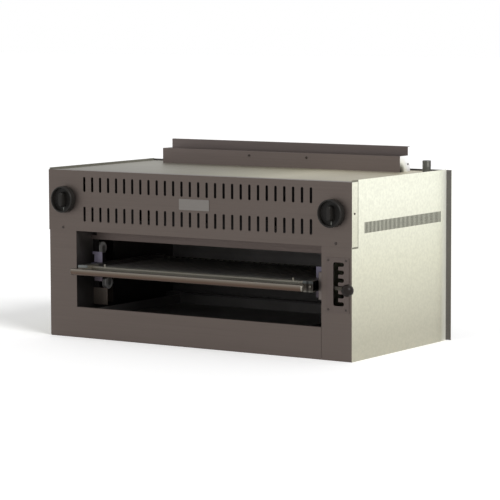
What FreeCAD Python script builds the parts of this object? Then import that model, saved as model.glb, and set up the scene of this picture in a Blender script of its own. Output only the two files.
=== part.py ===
import FreeCAD, Part

import math
import os
import re
import sys

import Sketcher

# Salamander grill: a gas infrared broiler for a shop kitchen, 36 inches wide.
# The frame has its origin in the middle of the cabinet's foot, +X to the cook's
# right, +Y to the back and +Z up. Depths are counted from the front face to the back.

doc = FreeCAD.newDocument("SalamanderGrill")
sheet = doc.addObject("Spreadsheet::Sheet", "Sizes")

DIMENSIONS = (
    # Cabinet
    ("cabinet_width", 914.4, "over the side panels, 36 inches"),
    ("cabinet_depth", 460.0, "front face to the rear panel"),
    ("cabinet_height", 436.0, "top edge of the side panels"),
    ("skin", 1.2, "thickness of the cabinet sheet"),
    ("side_flange", 12.0, "inward flanges of the side panels"),
    ("rear_ear", 14.8, "rear panel stands out past each side"),
    ("rear_foot", 1.6, "rear panel clears the table"),
    ("top_drop", 5.7, "top panel lies under the side panels' top edge"),
    ("top_flange", 12.0, "downward flanges of the top panel"),
    ("base_lip", 15.0, "upturned lip of the base tray"),
    ("leg_span", 800.0, "leg holes, left to right"),
    ("leg_reach", 380.0, "leg holes, front to back"),
    ("leg_hole", 5.2, "radius of a leg hole"),
    # Front
    ("apron_bottom", 276.0, "lower edge of the control panel"),
    ("apron_wrap", 26.5, "side and top returns of the control panel"),
    ("apron_return", 14.0, "bottom return of the control panel"),
    ("opening_half", 371.2, "half the width of the broiling opening"),
    ("opening_bottom", 79.0, "lower edge of the broiling opening"),
    ("rail_foot", 3.0, "lower edge of the bottom rail"),
    ("rail_return", 10.0, "return along the top of the bottom rail"),
    ("stile_tab", 19.0, "stile behind the control panel"),
    ("stile_gap", 0.8, "joint between bottom rail and right stile"),
    ("vent_width", 7.3, "front vent slot"),
    ("vent_height", 38.1, "front vent slot"),
    ("vent_corner", 1.9, "corner cut of a front vent slot"),
    ("vent_pitch", 25.4, "front vent slots, side to side"),
    ("vent_rows", 76.2, "front vent slots, row to row"),
    ("vent_level", 320.1, "middle of the lower row of vent slots"),
    ("badge_half", 45.5, "half the width of the blank plate"),
    ("badge_bottom", 344.6, "lower edge of the blank plate"),
    ("badge_height", 27.4, "blank plate"),
    ("badge_thick", 1.0, "blank plate"),
    # Side grille
    ("grille_start", 60.0, "first side slot, from the front"),
    ("grille_bottom", 305.5, "side slots"),
    ("grille_height", 26.5, "side slots"),
    ("grille_rear", 28.7, "last side slot, from the rear"),
    ("grille_slot", 4.2, "width of a side slot"),
    # Latch gate
    ("rack_level", 176.5, "height of the rack bar and of the fourth notch"),
    ("notch_pitch", 19.05, "six rack positions"),
    ("notch_end", 431.0, "middle of a notch's round end"),
    ("notch_radius", 5.0, "half the height of a notch"),
    ("gate_left", 406.0, "left edge of the gate's channel"),
    ("gate_right", 420.0, "tips of the gate's teeth"),
    ("plate_left", 385.0, "gate plate"),
    ("plate_right", 450.0, "gate plate"),
    ("plate_margin", 11.5, "gate plate above and below the channel"),
    ("window_margin", 4.0, "window in the stile behind the gate"),
    # Flue
    ("flue_half", 368.0, "half the width of the flue"),
    ("flue_room", 81.0, "front plate of the flue, from the rear"),
    ("flue_throat", 42.0, "flue, from its front plate to its back plate"),
    ("flue_rise", 40.2, "front plate above the top panel"),
    ("flue_back_rise", 63.2, "back plate above the top panel"),
    ("flue_side_width", 52.0, "side plates of the flue"),
    ("flue_hem", 10.0, "return along the top of the back plate"),
    # Cavity
    ("baffle_depth", 64.0, "header baffle behind the front face"),
    ("baffle_bottom", 250.0, "lower edge of the header baffle"),
    ("baffle_top", 296.0, "upper edge of the header baffle"),
    ("relief_width", 18.0, "corner relief in the header baffle"),
    ("relief_bottom", 260.0, "corner relief in the header baffle"),
    ("relief_height", 12.0, "corner relief in the header baffle"),
    ("liner_bottom", 50.8, "lower edge of the cavity sides"),
    ("liner_top", 340.0, "upper edge of the cavity sides"),
    ("liner_flange", 13.6, "front flange of the cavity sides"),
    ("rear_room", 35.0, "rear wall of the cavity, from the rear"),
    ("rear_step", 30.0, "lower part of the rear wall, in front of the upper part"),
    ("rear_step_height", 80.0, "lower part of the rear wall"),
    ("ledge_inner", 300.0, "inner edge of the pan ledges"),
    ("ledge_start", 14.0, "front end of the pan ledges"),
    # Drip pan
    ("pan_half", 322.0, "half the width of the drip pan"),
    ("pan_front", 14.0, "front wall of the drip pan"),
    ("pan_room", 5.0, "drip pan to the rear wall"),
    ("pan_height", 25.0, "drip pan"),
    ("pan_wall", 1.0, "drip pan"),
    # Burners
    ("housing_half", 346.0, "half the width of the burner housing"),
    ("housing_room", 7.0, "burner housing to the flue passage"),
    ("housing_bottom", 262.0, "burner housing"),
    ("housing_top", 412.0, "burner housing"),
    ("burner_inner", 20.0, "inner end of a burner, from the middle"),
    ("burner_outer", 342.0, "outer end of a burner, from the middle"),
    ("burner_start", 72.0, "front of a burner"),
    ("burner_room", 6.0, "burner to the rear of its housing"),
    ("burner_height", 24.0, "gas chamber of a burner"),
    ("tile_thick", 12.0, "ceramic tile"),
    ("tile_lift", 2.0, "tile face above the housing's edge"),
    ("tile_gap", 2.0, "between ceramic tiles"),
    ("mixer_place", 200.0, "mixing tube, from the middle"),
    ("mixer_radius", 16.0, "mixing tube"),
    ("mixer_wall", 2.0, "mixing tube"),
    ("mixer_level", 320.0, "mixing tube"),
    ("mixer_mouth", 44.0, "front end of the mixing tube"),
    ("mixer_length", 106.0, "mixing tube"),
    # Gas train
    ("pipe_radius", 10.65, "half inch gas pipe"),
    ("pipe_bore", 7.9, "half inch gas pipe"),
    ("tee_wall", 4.0, "tee on the manifold, over the pipe"),
    ("tee_reach", 24.0, "half the length of the tee, and its collar"),
    ("manifold_depth", 50.0, "axis of the manifold"),
    ("knob_level", 356.0, "axis of the valves and of the manifold"),
    ("knob_place", 405.0, "axis of a valve, from the middle"),
    ("manifold_left", 430.0, "left end of the manifold, from the middle"),
    ("manifold_right", 440.0, "right end of the manifold"),
    ("inlet_place", 417.0, "gas inlet, from the middle"),
    ("inlet_room", 30.0, "gas inlet, from the rear"),
    ("inlet_rise", 28.7, "gas inlet above the top panel"),
    ("inlet_mouth", 25.0, "open depth of the gas inlet"),
    ("inlet_clearance", 0.65, "hole round the gas inlet"),
    ("boss_radius", 10.0, "valve boss on the manifold"),
    ("boss_depth", 32.0, "face of a valve boss"),
    ("regulator_front", 150.0, "pressure regulator"),
    ("regulator_back", 214.0, "pressure regulator"),
    ("regulator_radius", 32.0, "diaphragm case of the regulator"),
    ("valve_half", 12.0, "half the height and width of a valve body"),
    ("valve_front", 10.0, "front of a valve body"),
    ("bonnet_radius", 9.0, "bonnet of a valve"),
    ("bonnet_front", 3.0, "front of the bonnet"),
    ("stem_radius", 3.0, "valve stem"),
    ("stem_start", -12.0, "front end of the valve stem"),
    ("stem_end", 20.0, "rear end of the valve stem"),
    ("panel_hole", 7.0, "hole for the stem in the control panel"),
    ("supply_radius", 4.0, "tube from valve to burner"),
    ("supply_depth", 28.0, "tube from valve to burner"),
    ("supply_level", 351.0, "tube from valve to burner"),
    ("spud_half", 7.0, "orifice block in front of a mixing tube"),
    ("pilot_place", 9.0, "pilot tubes, from the middle"),
    ("pilot_radius", 3.2, "pilot tube"),
    ("pilot_level", 306.0, "pilot tube"),
    ("pilot_reach", 96.0, "pilot head, from the front"),
    ("pilot_drop", 280.0, "top of the pilot head"),
    ("pilot_head", 7.0, "radius of the pilot head"),
    # Knob
    ("knob_radius", 34.0, "control knob"),
    ("knob_skirt", 18.0, "depth of the knob's drum"),
    ("knob_bevel", 3.0, "bevel of the drum's rim"),
    ("knob_rim", 5.0, "rim round the knob's dish"),
    ("knob_slope", 3.0, "slope from the rim to the floor of the dish"),
    ("knob_floor", 6.0, "floor of the dish in front of the knob's back"),
    ("knob_gap", 1.0, "between knob and panel"),
    ("grip_height", 4.0, "grip in front of the rim"),
    ("grip_half", 9.0, "half the width of the grip at its root"),
    ("grip_crest", 4.5, "half the width of the grip's crest"),
    ("grip_reach", 21.0, "half the length of the grip"),
    ("grip_taper", 4.0, "grip ends lean in"),
    ("grip_turn", 0.0, "lower end of the grip swings to the right, in degrees"),
    # Lift
    ("running", 0.05, "radial running clearance"),
    ("seat_gap", 0.3, "gap between a roller and its track"),
    ("guide_front", 72.0, "front flange of the guide rails"),
    ("guide_wall", 1.5, "guide rails and carriage"),
    ("guide_width", 60.0, "guide rails, front to back"),
    ("guide_lip", 18.2, "flanges of the guide rails"),
    ("guide_bottom", 79.5, "lower end of the guide rails"),
    ("guide_top", 300.0, "upper end of the guide rails"),
    ("foot_reach", 45.0, "wide foot of the front flange"),
    ("foot_height", 44.0, "wide foot of the front flange"),
    ("guide_roller_radius", 16.0, "guide roller"),
    ("guide_roller_width", 12.0, "guide roller"),
    ("roller_up", 49.0, "upper guide roller above the rack"),
    ("roller_down", 44.0, "lower guide roller below the rack"),
    ("stud_radius", 3.0, "roller stud"),
    ("stud_head", 5.5, "roller stud"),
    ("plate_face", 350.0, "inner face of the carriage plates"),
    ("plate_back", 156.0, "rear edge of the carriage plates"),
    ("plate_start", 80.0, "front edge of the carriage plates' body"),
    ("plate_up", 13.5, "carriage plate above the rack"),
    ("plate_down", 32.0, "carriage plate below the rack"),
    ("arm_start", 38.0, "front end of the carriage arm"),
    ("arm_up", 15.0, "carriage arm above the rack"),
    ("arm_down", 12.0, "carriage arm below the rack"),
    ("ear_half", 6.5, "ears that carry the guide rollers"),
    ("fin_depth", 50.5, "front flange of the carriage"),
    ("fin_width", 24.0, "front flange of the carriage"),
    ("fin_up", 42.7, "front flange above the rack"),
    ("fin_down", 33.0, "front flange below the rack"),
    ("tab_reach", 7.0, "tab at the top of the front flange"),
    ("shaft_radius", 6.35, "cross shaft"),
    ("shaft_depth", 148.0, "cross shaft"),
    ("shaft_drop", 24.0, "cross shaft below the rack"),
    ("rack_roller_radius", 11.7, "rack roller"),
    ("rack_roller_width", 14.0, "rack roller"),
    ("rack_roller_front", 66.0, "front rack rollers"),
    ("rack_roller_back", 112.0, "rear rack rollers"),
    ("rack_roller_in", 332.0, "inner face of the rack rollers"),
    # Springs
    ("spring_place", 392.0, "counterbalance springs, from the middle"),
    ("spring_radius", 8.0, "counterbalance spring"),
    ("anchor_bottom", 331.0, "anchors of the springs"),
    ("anchor_thick", 3.0, "anchors of the springs"),
    ("arm_half", 8.0, "half the width of a spring arm"),
    ("arm_drop", 8.5, "spring arm below the rack"),
    ("arm_thick", 3.0, "spring arm"),
    ("slot_room", 4.0, "room round an arm in its slot"),
    # Latch lever
    ("pivot_place", 358.0, "lever pivot, from the middle"),
    ("pivot_depth", 35.0, "lever pivot, from the front"),
    ("lever_angle", 58.5, "lever from straight ahead, to the right"),
    ("lever_length", 124.6, "pivot to ball"),
    ("lever_thick", 4.0, "lever bar"),
    ("lever_height", 8.0, "lever bar"),
    ("eye_radius", 6.0, "lever eye"),
    ("neck_radius", 3.0, "round end of the lever"),
    ("neck_length", 26.0, "round end of the lever"),
    ("ball_radius", 15.0, "ball knob"),
    ("ball_grip", 9.0, "neck inside the ball"),
    ("lug_gap", 0.5, "lug above and below the lever"),
    ("lug_thick", 2.0, "lugs that hold the lever"),
    # Rack
    ("tube_radius", 8.6, "handle tube, three eighths pipe"),
    ("tube_bore", 6.3, "bore of the handle tube, radius"),
    ("tube_half", 348.0, "half the length of the handle tube"),
    ("tip_shank", 6.2, "shank of a tube plug, radius"),
    ("tip_depth", 10.0, "shank of a tube plug, in the tube"),
    ("tip_rim", 0.8, "straight rim of a plug's head"),
    ("tip_dome", 1.8, "domed part of a plug's head"),
    ("tip_crown", 5.6, "flat of a plug's head, radius"),
    ("tube_out", 47.0, "handle tube in front of the front face"),
    ("rail_half", 13.5, "half the height of a rack rail"),
    ("rail_wall", 1.5, "rack rail"),
    ("rail_inner", 324.0, "web of a rack rail"),
    ("rail_width", 24.0, "rack rail"),
    ("rail_start", -11.0, "front end of a rack rail"),
    ("lug_start", -44.0, "front end of a rack rail's ear"),
    ("lug_half", 8.0, "half the height of a rack rail's ear"),
    ("rail_room", 70.0, "rack rails to the rear wall"),
    ("bar_front", 2.0, "front bar of the rack"),
    ("bar_wall", 2.0, "front bar of the rack"),
    ("bar_leg", 14.0, "top leg of the front bar"),
    ("bar_up", 10.5, "rack bars above the rack level"),
    ("bar_down", 11.5, "rack bars below the rack level"),
    ("rear_bar_room", 3.0, "rear bar to the rails' ends"),
    ("rear_bar_thick", 4.0, "rear bar of the rack"),
    ("rod_radius", 3.2, "grid rod"),
    ("rod_up", 5.7, "grid rods above the rack level"),
    ("rod_pitch", 19.05, "grid rods"),
    ("peg_place", 286.0, "pegs on the front bar"),
    ("peg_radius", 2.5, "pegs on the front bar"),
    ("peg_height", 6.0, "pegs on the front bar"),
)

VENT_COUNT = 28
GRILLE_COUNT = 59
NOTCH_COUNT = 6
NOTCH_AT_REST = 4
TILE_ROWS = 3
ROD_COUNT = 33
ROD_FLATS = 8
TUBE_FLATS = 8
HEX = 6
BALL_BANDS = 6

for row, (alias, value, note) in enumerate(DIMENSIONS, start=1):
    sheet.set("A%d" % row, alias)
    sheet.set("B%d" % row, str(value))
    sheet.set("C%d" % row, note)
    sheet.setAlias("B%d" % row, alias)
doc.recompute()

ALIASES = {alias for alias, value, note in DIMENSIONS}
WORD = re.compile(r"[a-z][a-z_]*")

# Places that many pieces share, as formulas of the sheet's cells
FRONT = "(-cabinet_depth / 2)"
HALF = "(cabinet_width / 2)"
TOP = "(cabinet_height - top_drop)"
TOP_UNDER = "(cabinet_height - top_drop - skin)"
APRON_TOP = "(cabinet_height - top_drop + skin)"
LINER_OUT = "(opening_half + skin)"
LEDGE_TOP = "(liner_bottom + skin)"
GATE_TOP = "(rack_level + %d * notch_pitch + notch_radius)" % (NOTCH_AT_REST - 1)
GATE_BOTTOM = "(rack_level - %d * notch_pitch - notch_radius)" % (NOTCH_COUNT - NOTCH_AT_REST)
LIFT_UP = "(%d * notch_pitch)" % (NOTCH_AT_REST - 1)
LIFT_DOWN = "(%d * notch_pitch)" % (NOTCH_COUNT - NOTCH_AT_REST)
UPPER_ROLLER = "(guide_front + guide_wall + guide_roller_radius + seat_gap)"
LOWER_ROLLER = "(guide_front + guide_width - guide_wall - guide_roller_radius - seat_gap)"
TILE_FACE = "(housing_bottom + tile_lift)"

REAR_WALL = "(cabinet_depth - rear_room)"
REAR_STEP = "(cabinet_depth - rear_room - rear_step)"
FLUE_FRONT = "(cabinet_depth - flue_room)"
FLUE_BACK = "(cabinet_depth - flue_room + flue_throat)"
FLUE_SIDE_END = "(cabinet_depth - flue_room + flue_side_width)"
HOUSING_BACK = "(cabinet_depth - flue_room - housing_room)"
BURNER_BACK = "(%s - burner_room)" % HOUSING_BACK
PAN_BACK = "(%s - pan_room)" % REAR_STEP
RAIL_BACK = "(%s - rail_room)" % REAR_STEP
REAR_BAR = "(%s - rear_bar_room - rear_bar_thick)" % RAIL_BACK
INLET = "(cabinet_depth - inlet_room)"
INLET_TOP = "(cabinet_height - top_drop + inlet_rise)"
GRILLE_SPAN = "(cabinet_depth - grille_start - grille_rear - grille_slot)"

AXIS_X = FreeCAD.Rotation(FreeCAD.Vector(0, 1, 0), 90)
AXIS_Y = FreeCAD.Rotation(FreeCAD.Vector(1, 0, 0), -90)
AXIS_Z = FreeCAD.Rotation()

nodes = []


def bound(formula):
    """The formula with each sheet alias written as a cell of the sheet."""
    return WORD.sub(lambda word: "Sizes." + word.group(0) if word.group(0) in ALIASES else word.group(0),
                    formula)


def size(alias):
    """The number in one cell of the sheet."""
    return float(getattr(sheet, alias))


def place(piece, x="0", depth="0", z="0"):
    """Put a piece at x, at a depth behind the front face, and at a height z."""
    piece.setExpression("Placement.Base.x", bound(x))
    piece.setExpression("Placement.Base.y", bound(FRONT + " + " + depth))
    piece.setExpression("Placement.Base.z", bound(z))
    return piece


def block(x_low, x_high, depth_low, depth_high, z_low, z_high):
    """A box between two corners, each given as a formula."""
    box = doc.addObject("Part::Box", "Block")
    box.setExpression("Length", bound("(%s) - (%s)" % (x_high, x_low)))
    box.setExpression("Width", bound("(%s) - (%s)" % (depth_high, depth_low)))
    box.setExpression("Height", bound("(%s) - (%s)" % (z_high, z_low)))
    return place(box, x_low, depth_low, z_low)


def round_bar(turn, radius, length, x, depth, z):
    """A cylinder that starts at a point and runs along the axis of turn."""
    bar = doc.addObject("Part::Cylinder", "RoundBar")
    bar.Placement = FreeCAD.Placement(FreeCAD.Vector(), turn)
    bar.setExpression("Radius", bound(radius))
    bar.setExpression("Height", bound(length))
    return place(bar, x, depth, z)


def prism(turn, sides, radius, length, x, depth, z):
    """A bar of regular section that starts at a point and runs along the axis of turn."""
    bar = doc.addObject("Part::Prism", "Prism")
    bar.Polygon = sides
    bar.Placement = FreeCAD.Placement(FreeCAD.Vector(), turn)
    bar.setExpression("Circumradius", bound(radius))
    bar.setExpression("Height", bound(length))
    return place(bar, x, depth, z)


def hexagon(turn, length, x, depth, z):
    """The head of a bolt or a nut."""
    return prism(turn, HEX, "stud_head", length, x, depth, z)


def fuse(*pieces):
    """One solid from pieces that touch or overlap."""
    joined = doc.addObject("Part::MultiFuse", "Joined")
    joined.Shapes = list(pieces)
    joined.Refine = True
    return joined


def cut(piece, *tools):
    """A piece less its tools."""
    tool = tools[0]
    if len(tools) > 1:
        tool = doc.addObject("Part::Compound", "Tools")
        tool.Links = list(tools)
    rest = doc.addObject("Part::Cut", "Rest")
    rest.Base = piece
    rest.Tool = tool
    return rest


def group(*pieces):
    """Separate solids of one node."""
    together = doc.addObject("Part::Compound", "Group")
    together.Links = list(pieces)
    return together


def mirror(piece):
    """The same piece on the other side of the cabinet."""
    other = doc.addObject("Part::Mirroring", "Mirrored")
    other.Source = piece
    other.Normal = FreeCAD.Vector(1, 0, 0)
    return other


def node(label, piece):
    """Name a finished piece, so that it's written to a file of that name."""
    piece.Label = label
    nodes.append(piece)
    return piece


def new_body(x="0", depth="0", z="0"):
    """An empty body, with its own origin at a place in the cabinet."""
    body = doc.addObject("PartDesign::Body", "Body")
    return place(body, x, depth, z)


def sketch_on(body, role):
    """A sketch on one of the body's three origin planes."""
    plane = [item for item in body.Origin.OriginFeatures if item.Role == role][0]
    sketch = body.newObject("Sketcher::SketchObject", "Sketch")
    sketch.AttachmentSupport = [(plane, "")]
    sketch.MapMode = "FlatFace"
    return sketch


def pin_point(sketch, item, end, start, across, up):
    """Hold one point of a sketch at two formulas from the sketch's origin."""
    for kind, value, formula in (("DistanceX", start.x, across), ("DistanceY", start.y, up)):
        index = sketch.addConstraint(Sketcher.Constraint(kind, -1, 1, item, end, value))
        sketch.setExpression("Constraints[%d]" % index, bound(formula))


def outline(sketch, corners):
    """A closed outline of straight lines through corners given as formulas."""
    first = sketch.GeometryCount
    count = len(corners)
    turn = 2 * math.pi / count
    starts = [FreeCAD.Vector(100 * math.cos(i * turn), 100 * math.sin(i * turn), 0) for i in range(count)]
    for i in range(count):
        sketch.addGeometry(Part.LineSegment(starts[i], starts[(i + 1) % count]), False)
    for i in range(count):
        follower = first + (i + 1) % count
        sketch.addConstraint(Sketcher.Constraint("Coincident", first + i, 2, follower, 1))
    for i, (across, up) in enumerate(corners):
        pin_point(sketch, first + i, 1, starts[i], across, up)
    return sketch


def rectangle(sketch, x_low, x_high, y_low, y_high):
    """A rectangle in a sketch."""
    return outline(sketch, ((x_low, y_low), (x_high, y_low), (x_high, y_high), (x_low, y_high)))


def circle(sketch, across, up, radius):
    """A circle in a sketch."""
    start = FreeCAD.Vector(10, 10, 0)
    index = sketch.addGeometry(Part.Circle(start, FreeCAD.Vector(0, 0, 1), 3.0), False)
    pin_point(sketch, index, 3, start, across, up)
    held = sketch.addConstraint(Sketcher.Constraint("Radius", index, 3.0))
    sketch.setExpression("Constraints[%d]" % held, bound(radius))
    return sketch


def slot(sketch, start, end, radius):
    """A slot with round ends, from one centre to another."""
    low = FreeCAD.Vector(0, 0, 0)
    high = FreeCAD.Vector(0, 30, 0)
    axis = FreeCAD.Vector(0, 0, 1)
    side = FreeCAD.Vector(3, 0, 0)
    first = sketch.addGeometry(Part.LineSegment(low - side, high - side), False)
    sketch.addGeometry(Part.LineSegment(low + side, high + side), False)
    sketch.addGeometry(Part.ArcOfCircle(Part.Circle(high, axis, 3.0), 0, math.pi), False)
    sketch.addGeometry(Part.ArcOfCircle(Part.Circle(low, axis, 3.0), math.pi, 2 * math.pi), False)
    for line, line_end, arc, arc_end in ((0, 2, 2, 2), (1, 2, 2, 1), (0, 1, 3, 1), (1, 1, 3, 2)):
        link = Sketcher.Constraint("Tangent", first + line, line_end, first + arc, arc_end)
        sketch.addConstraint(link)
    sketch.addConstraint(Sketcher.Constraint("Equal", first + 2, first + 3))
    pin_point(sketch, first + 3, 3, low, *start)
    pin_point(sketch, first + 2, 3, high, *end)
    held = sketch.addConstraint(Sketcher.Constraint("Radius", first + 3, 3.0))
    sketch.setExpression("Constraints[%d]" % held, bound(radius))
    return sketch


def pad(body, sketch, length, backwards=False, both_ways=False):
    """Thicken a sketch into the body."""
    solid = body.newObject("PartDesign::Pad", "Pad")
    solid.Profile = sketch
    solid.setExpression("Length", bound(length))
    solid.Reversed = backwards
    solid.Midplane = both_ways
    return solid


def pocket_through(body, sketch):
    """Cut a sketch right through the body, and see that it cut."""
    doc.recompute()
    before = body.Shape.Volume
    hole = body.newObject("PartDesign::Pocket", "Pocket")
    hole.Profile = sketch
    hole.Type = 1
    hole.Midplane = True
    doc.recompute()
    if not hole.Shape.Volume < before:
        sys.exit("a pocket cut nothing in " + body.Label)
    return hole


def repeat(body, feature, role, span, count, second_role=None, second_span="0", second_count=1):
    """A row of one feature along the normal of an origin plane, or rows of it."""
    planes = {item.Role: item for item in body.Origin.OriginFeatures}
    rows = body.newObject("PartDesign::LinearPattern", "Row")
    rows.Originals = [feature]
    rows.Direction = (planes[role], [""])
    rows.setExpression("Length", bound(span))
    rows.Occurrences = count
    if second_role:
        rows.Direction2 = (planes[second_role], [""])
        rows.setExpression("Length2", bound(second_span))
        rows.Occurrences2 = second_count
    body.Tip = rows
    return rows


def both_sides(x_low, x_high):
    """The same stretch of x on the right and on the left."""
    return ((x_low, x_high), ("-(%s)" % x_high, "-(%s)" % x_low))


# Cabinet shell

def base_tray():
    """The floor of the cabinet: a tray with upturned lips and four leg holes."""
    body = new_body("0", "0", "0")
    inner = "(%s - skin)" % HALF
    pad(body, rectangle(sketch_on(body, "XY_Plane"), "-" + inner, inner, "2 * skin", "cabinet_depth"),
        "base_lip")
    doc.recompute()
    hollow = "(%s - 2 * skin)" % HALF
    well = block("-" + hollow, hollow, "3 * skin", "cabinet_depth - skin", "skin", "base_lip + skin")
    holes = []
    for across in ("-leg_span / 2", "leg_span / 2"):
        for along in ("-leg_reach / 2", "leg_reach / 2"):
            middle = "cabinet_depth / 2 + " + along
            holes.append(round_bar(AXIS_Z, "leg_hole", "3 * skin", across, middle, "-skin"))
    return cut(body, well, *holes)


def side_panel():
    """A side panel: a plate with two inward flanges and a band of fine slots."""
    body = new_body("%s - skin" % HALF)
    plate = rectangle(sketch_on(body, "YZ_Plane"), "2 * skin", "cabinet_depth", "0", "cabinet_height")
    pad(body, plate, "skin")
    first = rectangle(sketch_on(body, "YZ_Plane"), "grille_start", "grille_start + grille_slot",
                      "grille_bottom", "grille_bottom + grille_height")
    opening = pocket_through(body, first)
    repeat(body, opening, "XZ_Plane", GRILLE_SPAN, GRILLE_COUNT).Reversed = True
    doc.recompute()
    edge = ("%s - side_flange" % HALF, "%s - skin" % HALF)
    front_flange = block(*edge, "2 * skin", "3 * skin", "base_lip + skin", TOP_UNDER)
    rear_flange = block(*edge, "cabinet_depth - skin", "cabinet_depth", "base_lip + skin", TOP_UNDER)
    return fuse(body, front_flange, rear_flange)


def rear_panel():
    """The rear panel, whose ears stand out past the sides."""
    body = new_body("0", "cabinet_depth")
    reach = "(%s + rear_ear)" % HALF
    pad(body, rectangle(sketch_on(body, "XZ_Plane"), "-" + reach, reach, "rear_foot",
                        "cabinet_height - skin"),
        "skin", backwards=True)
    return body


def top_panel():
    """The top panel, with the flue's opening and the gas pipe's hole."""
    inner = "(%s - skin)" % HALF
    plate = block("-" + inner, inner, "skin", "cabinet_depth", TOP_UNDER, TOP)
    flanges = []
    for span in both_sides("%s - 2 * skin" % HALF, inner):
        flanges.append(block(*span, "side_flange + skin", "cabinet_depth - side_flange - skin",
                             TOP_UNDER + " - top_flange", TOP_UNDER))
    throat = "(flue_half - skin)"
    flue_hole = block("-" + throat, throat, FLUE_FRONT + " + skin", FLUE_BACK,
                      TOP_UNDER + " - skin", TOP + " + skin")
    pipe_hole = round_bar(AXIS_Z, "pipe_radius + inlet_clearance", "4 * skin", "inlet_place", INLET,
                          TOP_UNDER + " - skin")
    return cut(fuse(plate, *flanges), flue_hole, pipe_hole)


def vent_outline(sketch, across, level):
    """A vent slot about its middle, each round end drawn with three flats."""
    side = "vent_width / 2"
    tall = "vent_height / 2"
    near = "(%s - vent_corner)" % side
    high = "(%s - vent_corner)" % tall
    turns = ((side, "-" + high), (side, high), (near, tall), ("-" + near, tall),
             ("-" + side, high), ("-" + side, "-" + high), ("-" + near, "-" + tall), (near, "-" + tall))
    return outline(sketch, [("%s + %s" % (across, x), "%s + %s" % (level, z)) for x, z in turns])


def control_panel():
    """The control panel: a face with side, top and bottom returns, and vent slots."""
    body = new_body("0", "0", "apron_bottom")
    tall = "(%s - apron_bottom)" % APRON_TOP
    wide = "(%s + skin)" % HALF
    pad(body, rectangle(sketch_on(body, "XZ_Plane"), "-" + wide, wide, "0", tall), "apron_wrap",
        backwards=True)
    first = "-vent_pitch * %d / 2" % (VENT_COUNT - 1)
    vent = pocket_through(body, vent_outline(sketch_on(body, "XZ_Plane"), first,
                                             "vent_level - apron_bottom"))
    repeat(body, vent, "YZ_Plane", "vent_pitch * %d" % (VENT_COUNT - 1), VENT_COUNT, "XY_Plane",
           "vent_rows", 2)
    holes = sketch_on(body, "XZ_Plane")
    for sign in ("", "-"):
        circle(holes, sign + "knob_place", "knob_level - apron_bottom", "panel_hole")
    pocket_through(body, holes)
    room = block("-" + HALF, HALF, "skin", "apron_wrap + skin", "apron_bottom - skin",
                 APRON_TOP + " + skin")
    shell = cut(body, room)
    top_in = "(%s - skin - seat_gap)" % HALF
    top_return = block("-" + top_in, top_in, "skin", "apron_wrap", TOP, APRON_TOP)
    low_in = "(opening_half - skin)"
    low_return = block("-" + low_in, low_in, "skin", "apron_return", "apron_bottom", "apron_bottom + skin")
    return fuse(shell, top_return, low_return)


def front_frame():
    """Left stile and bottom rail in one sheet, with a return along the opening."""
    body = new_body("0", "skin")
    stile_top = "apron_bottom + stile_tab"
    face = outline(sketch_on(body, "XZ_Plane"), (
        ("-" + HALF, "rail_foot"), ("opening_half", "rail_foot"), ("opening_half", "opening_bottom"),
        ("-opening_half", "opening_bottom"), ("-opening_half", stile_top), ("-" + HALF, stile_top)))
    pad(body, face, "skin", backwards=True)
    sill = block("-opening_half", "opening_half", "2 * skin", "2 * skin + rail_return",
                 "opening_bottom - skin", "opening_bottom")
    return fuse(body, sill)


def right_stile():
    """The right stile, a sheet of its own with a window behind the gate."""
    body = new_body("0", "skin")
    face = rectangle(sketch_on(body, "XZ_Plane"), "opening_half + stile_gap", HALF, "0",
                     "apron_bottom + stile_tab")
    pad(body, face, "skin", backwards=True)
    openings = sketch_on(body, "XZ_Plane")
    rectangle(openings, "gate_left - window_margin", "notch_end + notch_radius + window_margin / 2",
              GATE_BOTTOM + " - window_margin / 2", GATE_TOP + " + window_margin / 2")
    pocket_through(body, openings)
    return body


def gate_plate():
    """The notched gate that holds the rack at six heights."""
    body = new_body()
    face = rectangle(sketch_on(body, "XZ_Plane"), "plate_left", "plate_right",
                     GATE_BOTTOM + " - plate_margin - notch_radius", GATE_TOP + " + plate_margin")
    pad(body, face, "skin", backwards=True)
    channel = slot(sketch_on(body, "XZ_Plane"), ("gate_left + notch_radius",
                                                 GATE_BOTTOM + " + notch_radius"),
                   ("gate_left + notch_radius", GATE_TOP + " - notch_radius"), "notch_radius")
    pocket_through(body, channel)
    straight = rectangle(sketch_on(body, "XZ_Plane"), "gate_left + notch_radius", "gate_right",
                         GATE_BOTTOM, GATE_TOP)
    pocket_through(body, straight)
    lowest = "rack_level - notch_pitch * %d" % (NOTCH_COUNT - NOTCH_AT_REST)
    notch = slot(sketch_on(body, "XZ_Plane"), ("notch_end", lowest), ("gate_right - notch_radius", lowest),
                 "notch_radius")
    cut_once = pocket_through(body, notch)
    repeat(body, cut_once, "XY_Plane", "notch_pitch * %d" % (NOTCH_COUNT - 1), NOTCH_COUNT)
    return body


def badge_plate():
    """A blank plate between the two rows of vent slots, with round corners."""
    plate = block("-badge_half", "badge_half", "-badge_thick", "0", "badge_bottom",
                  "badge_bottom + badge_height")
    doc.recompute()
    corners = doc.addObject("Part::Fillet", "Rounded")
    corners.Base = plate
    radius = 2 * size("badge_thick")
    across = [i for i, edge in enumerate(plate.Shape.Edges, start=1)
              if abs(edge.tangentAt(edge.FirstParameter).y) > 0.9]
    corners.Edges = [(i, radius, radius) for i in across]
    return corners


# Flue

def flue_front():
    """The front plate of the flue."""
    body = new_body("0", FLUE_FRONT)
    face = rectangle(sketch_on(body, "XZ_Plane"), "-flue_half", "flue_half", TOP, TOP + " + flue_rise")
    pad(body, face, "skin", backwards=True)
    return body


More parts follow.
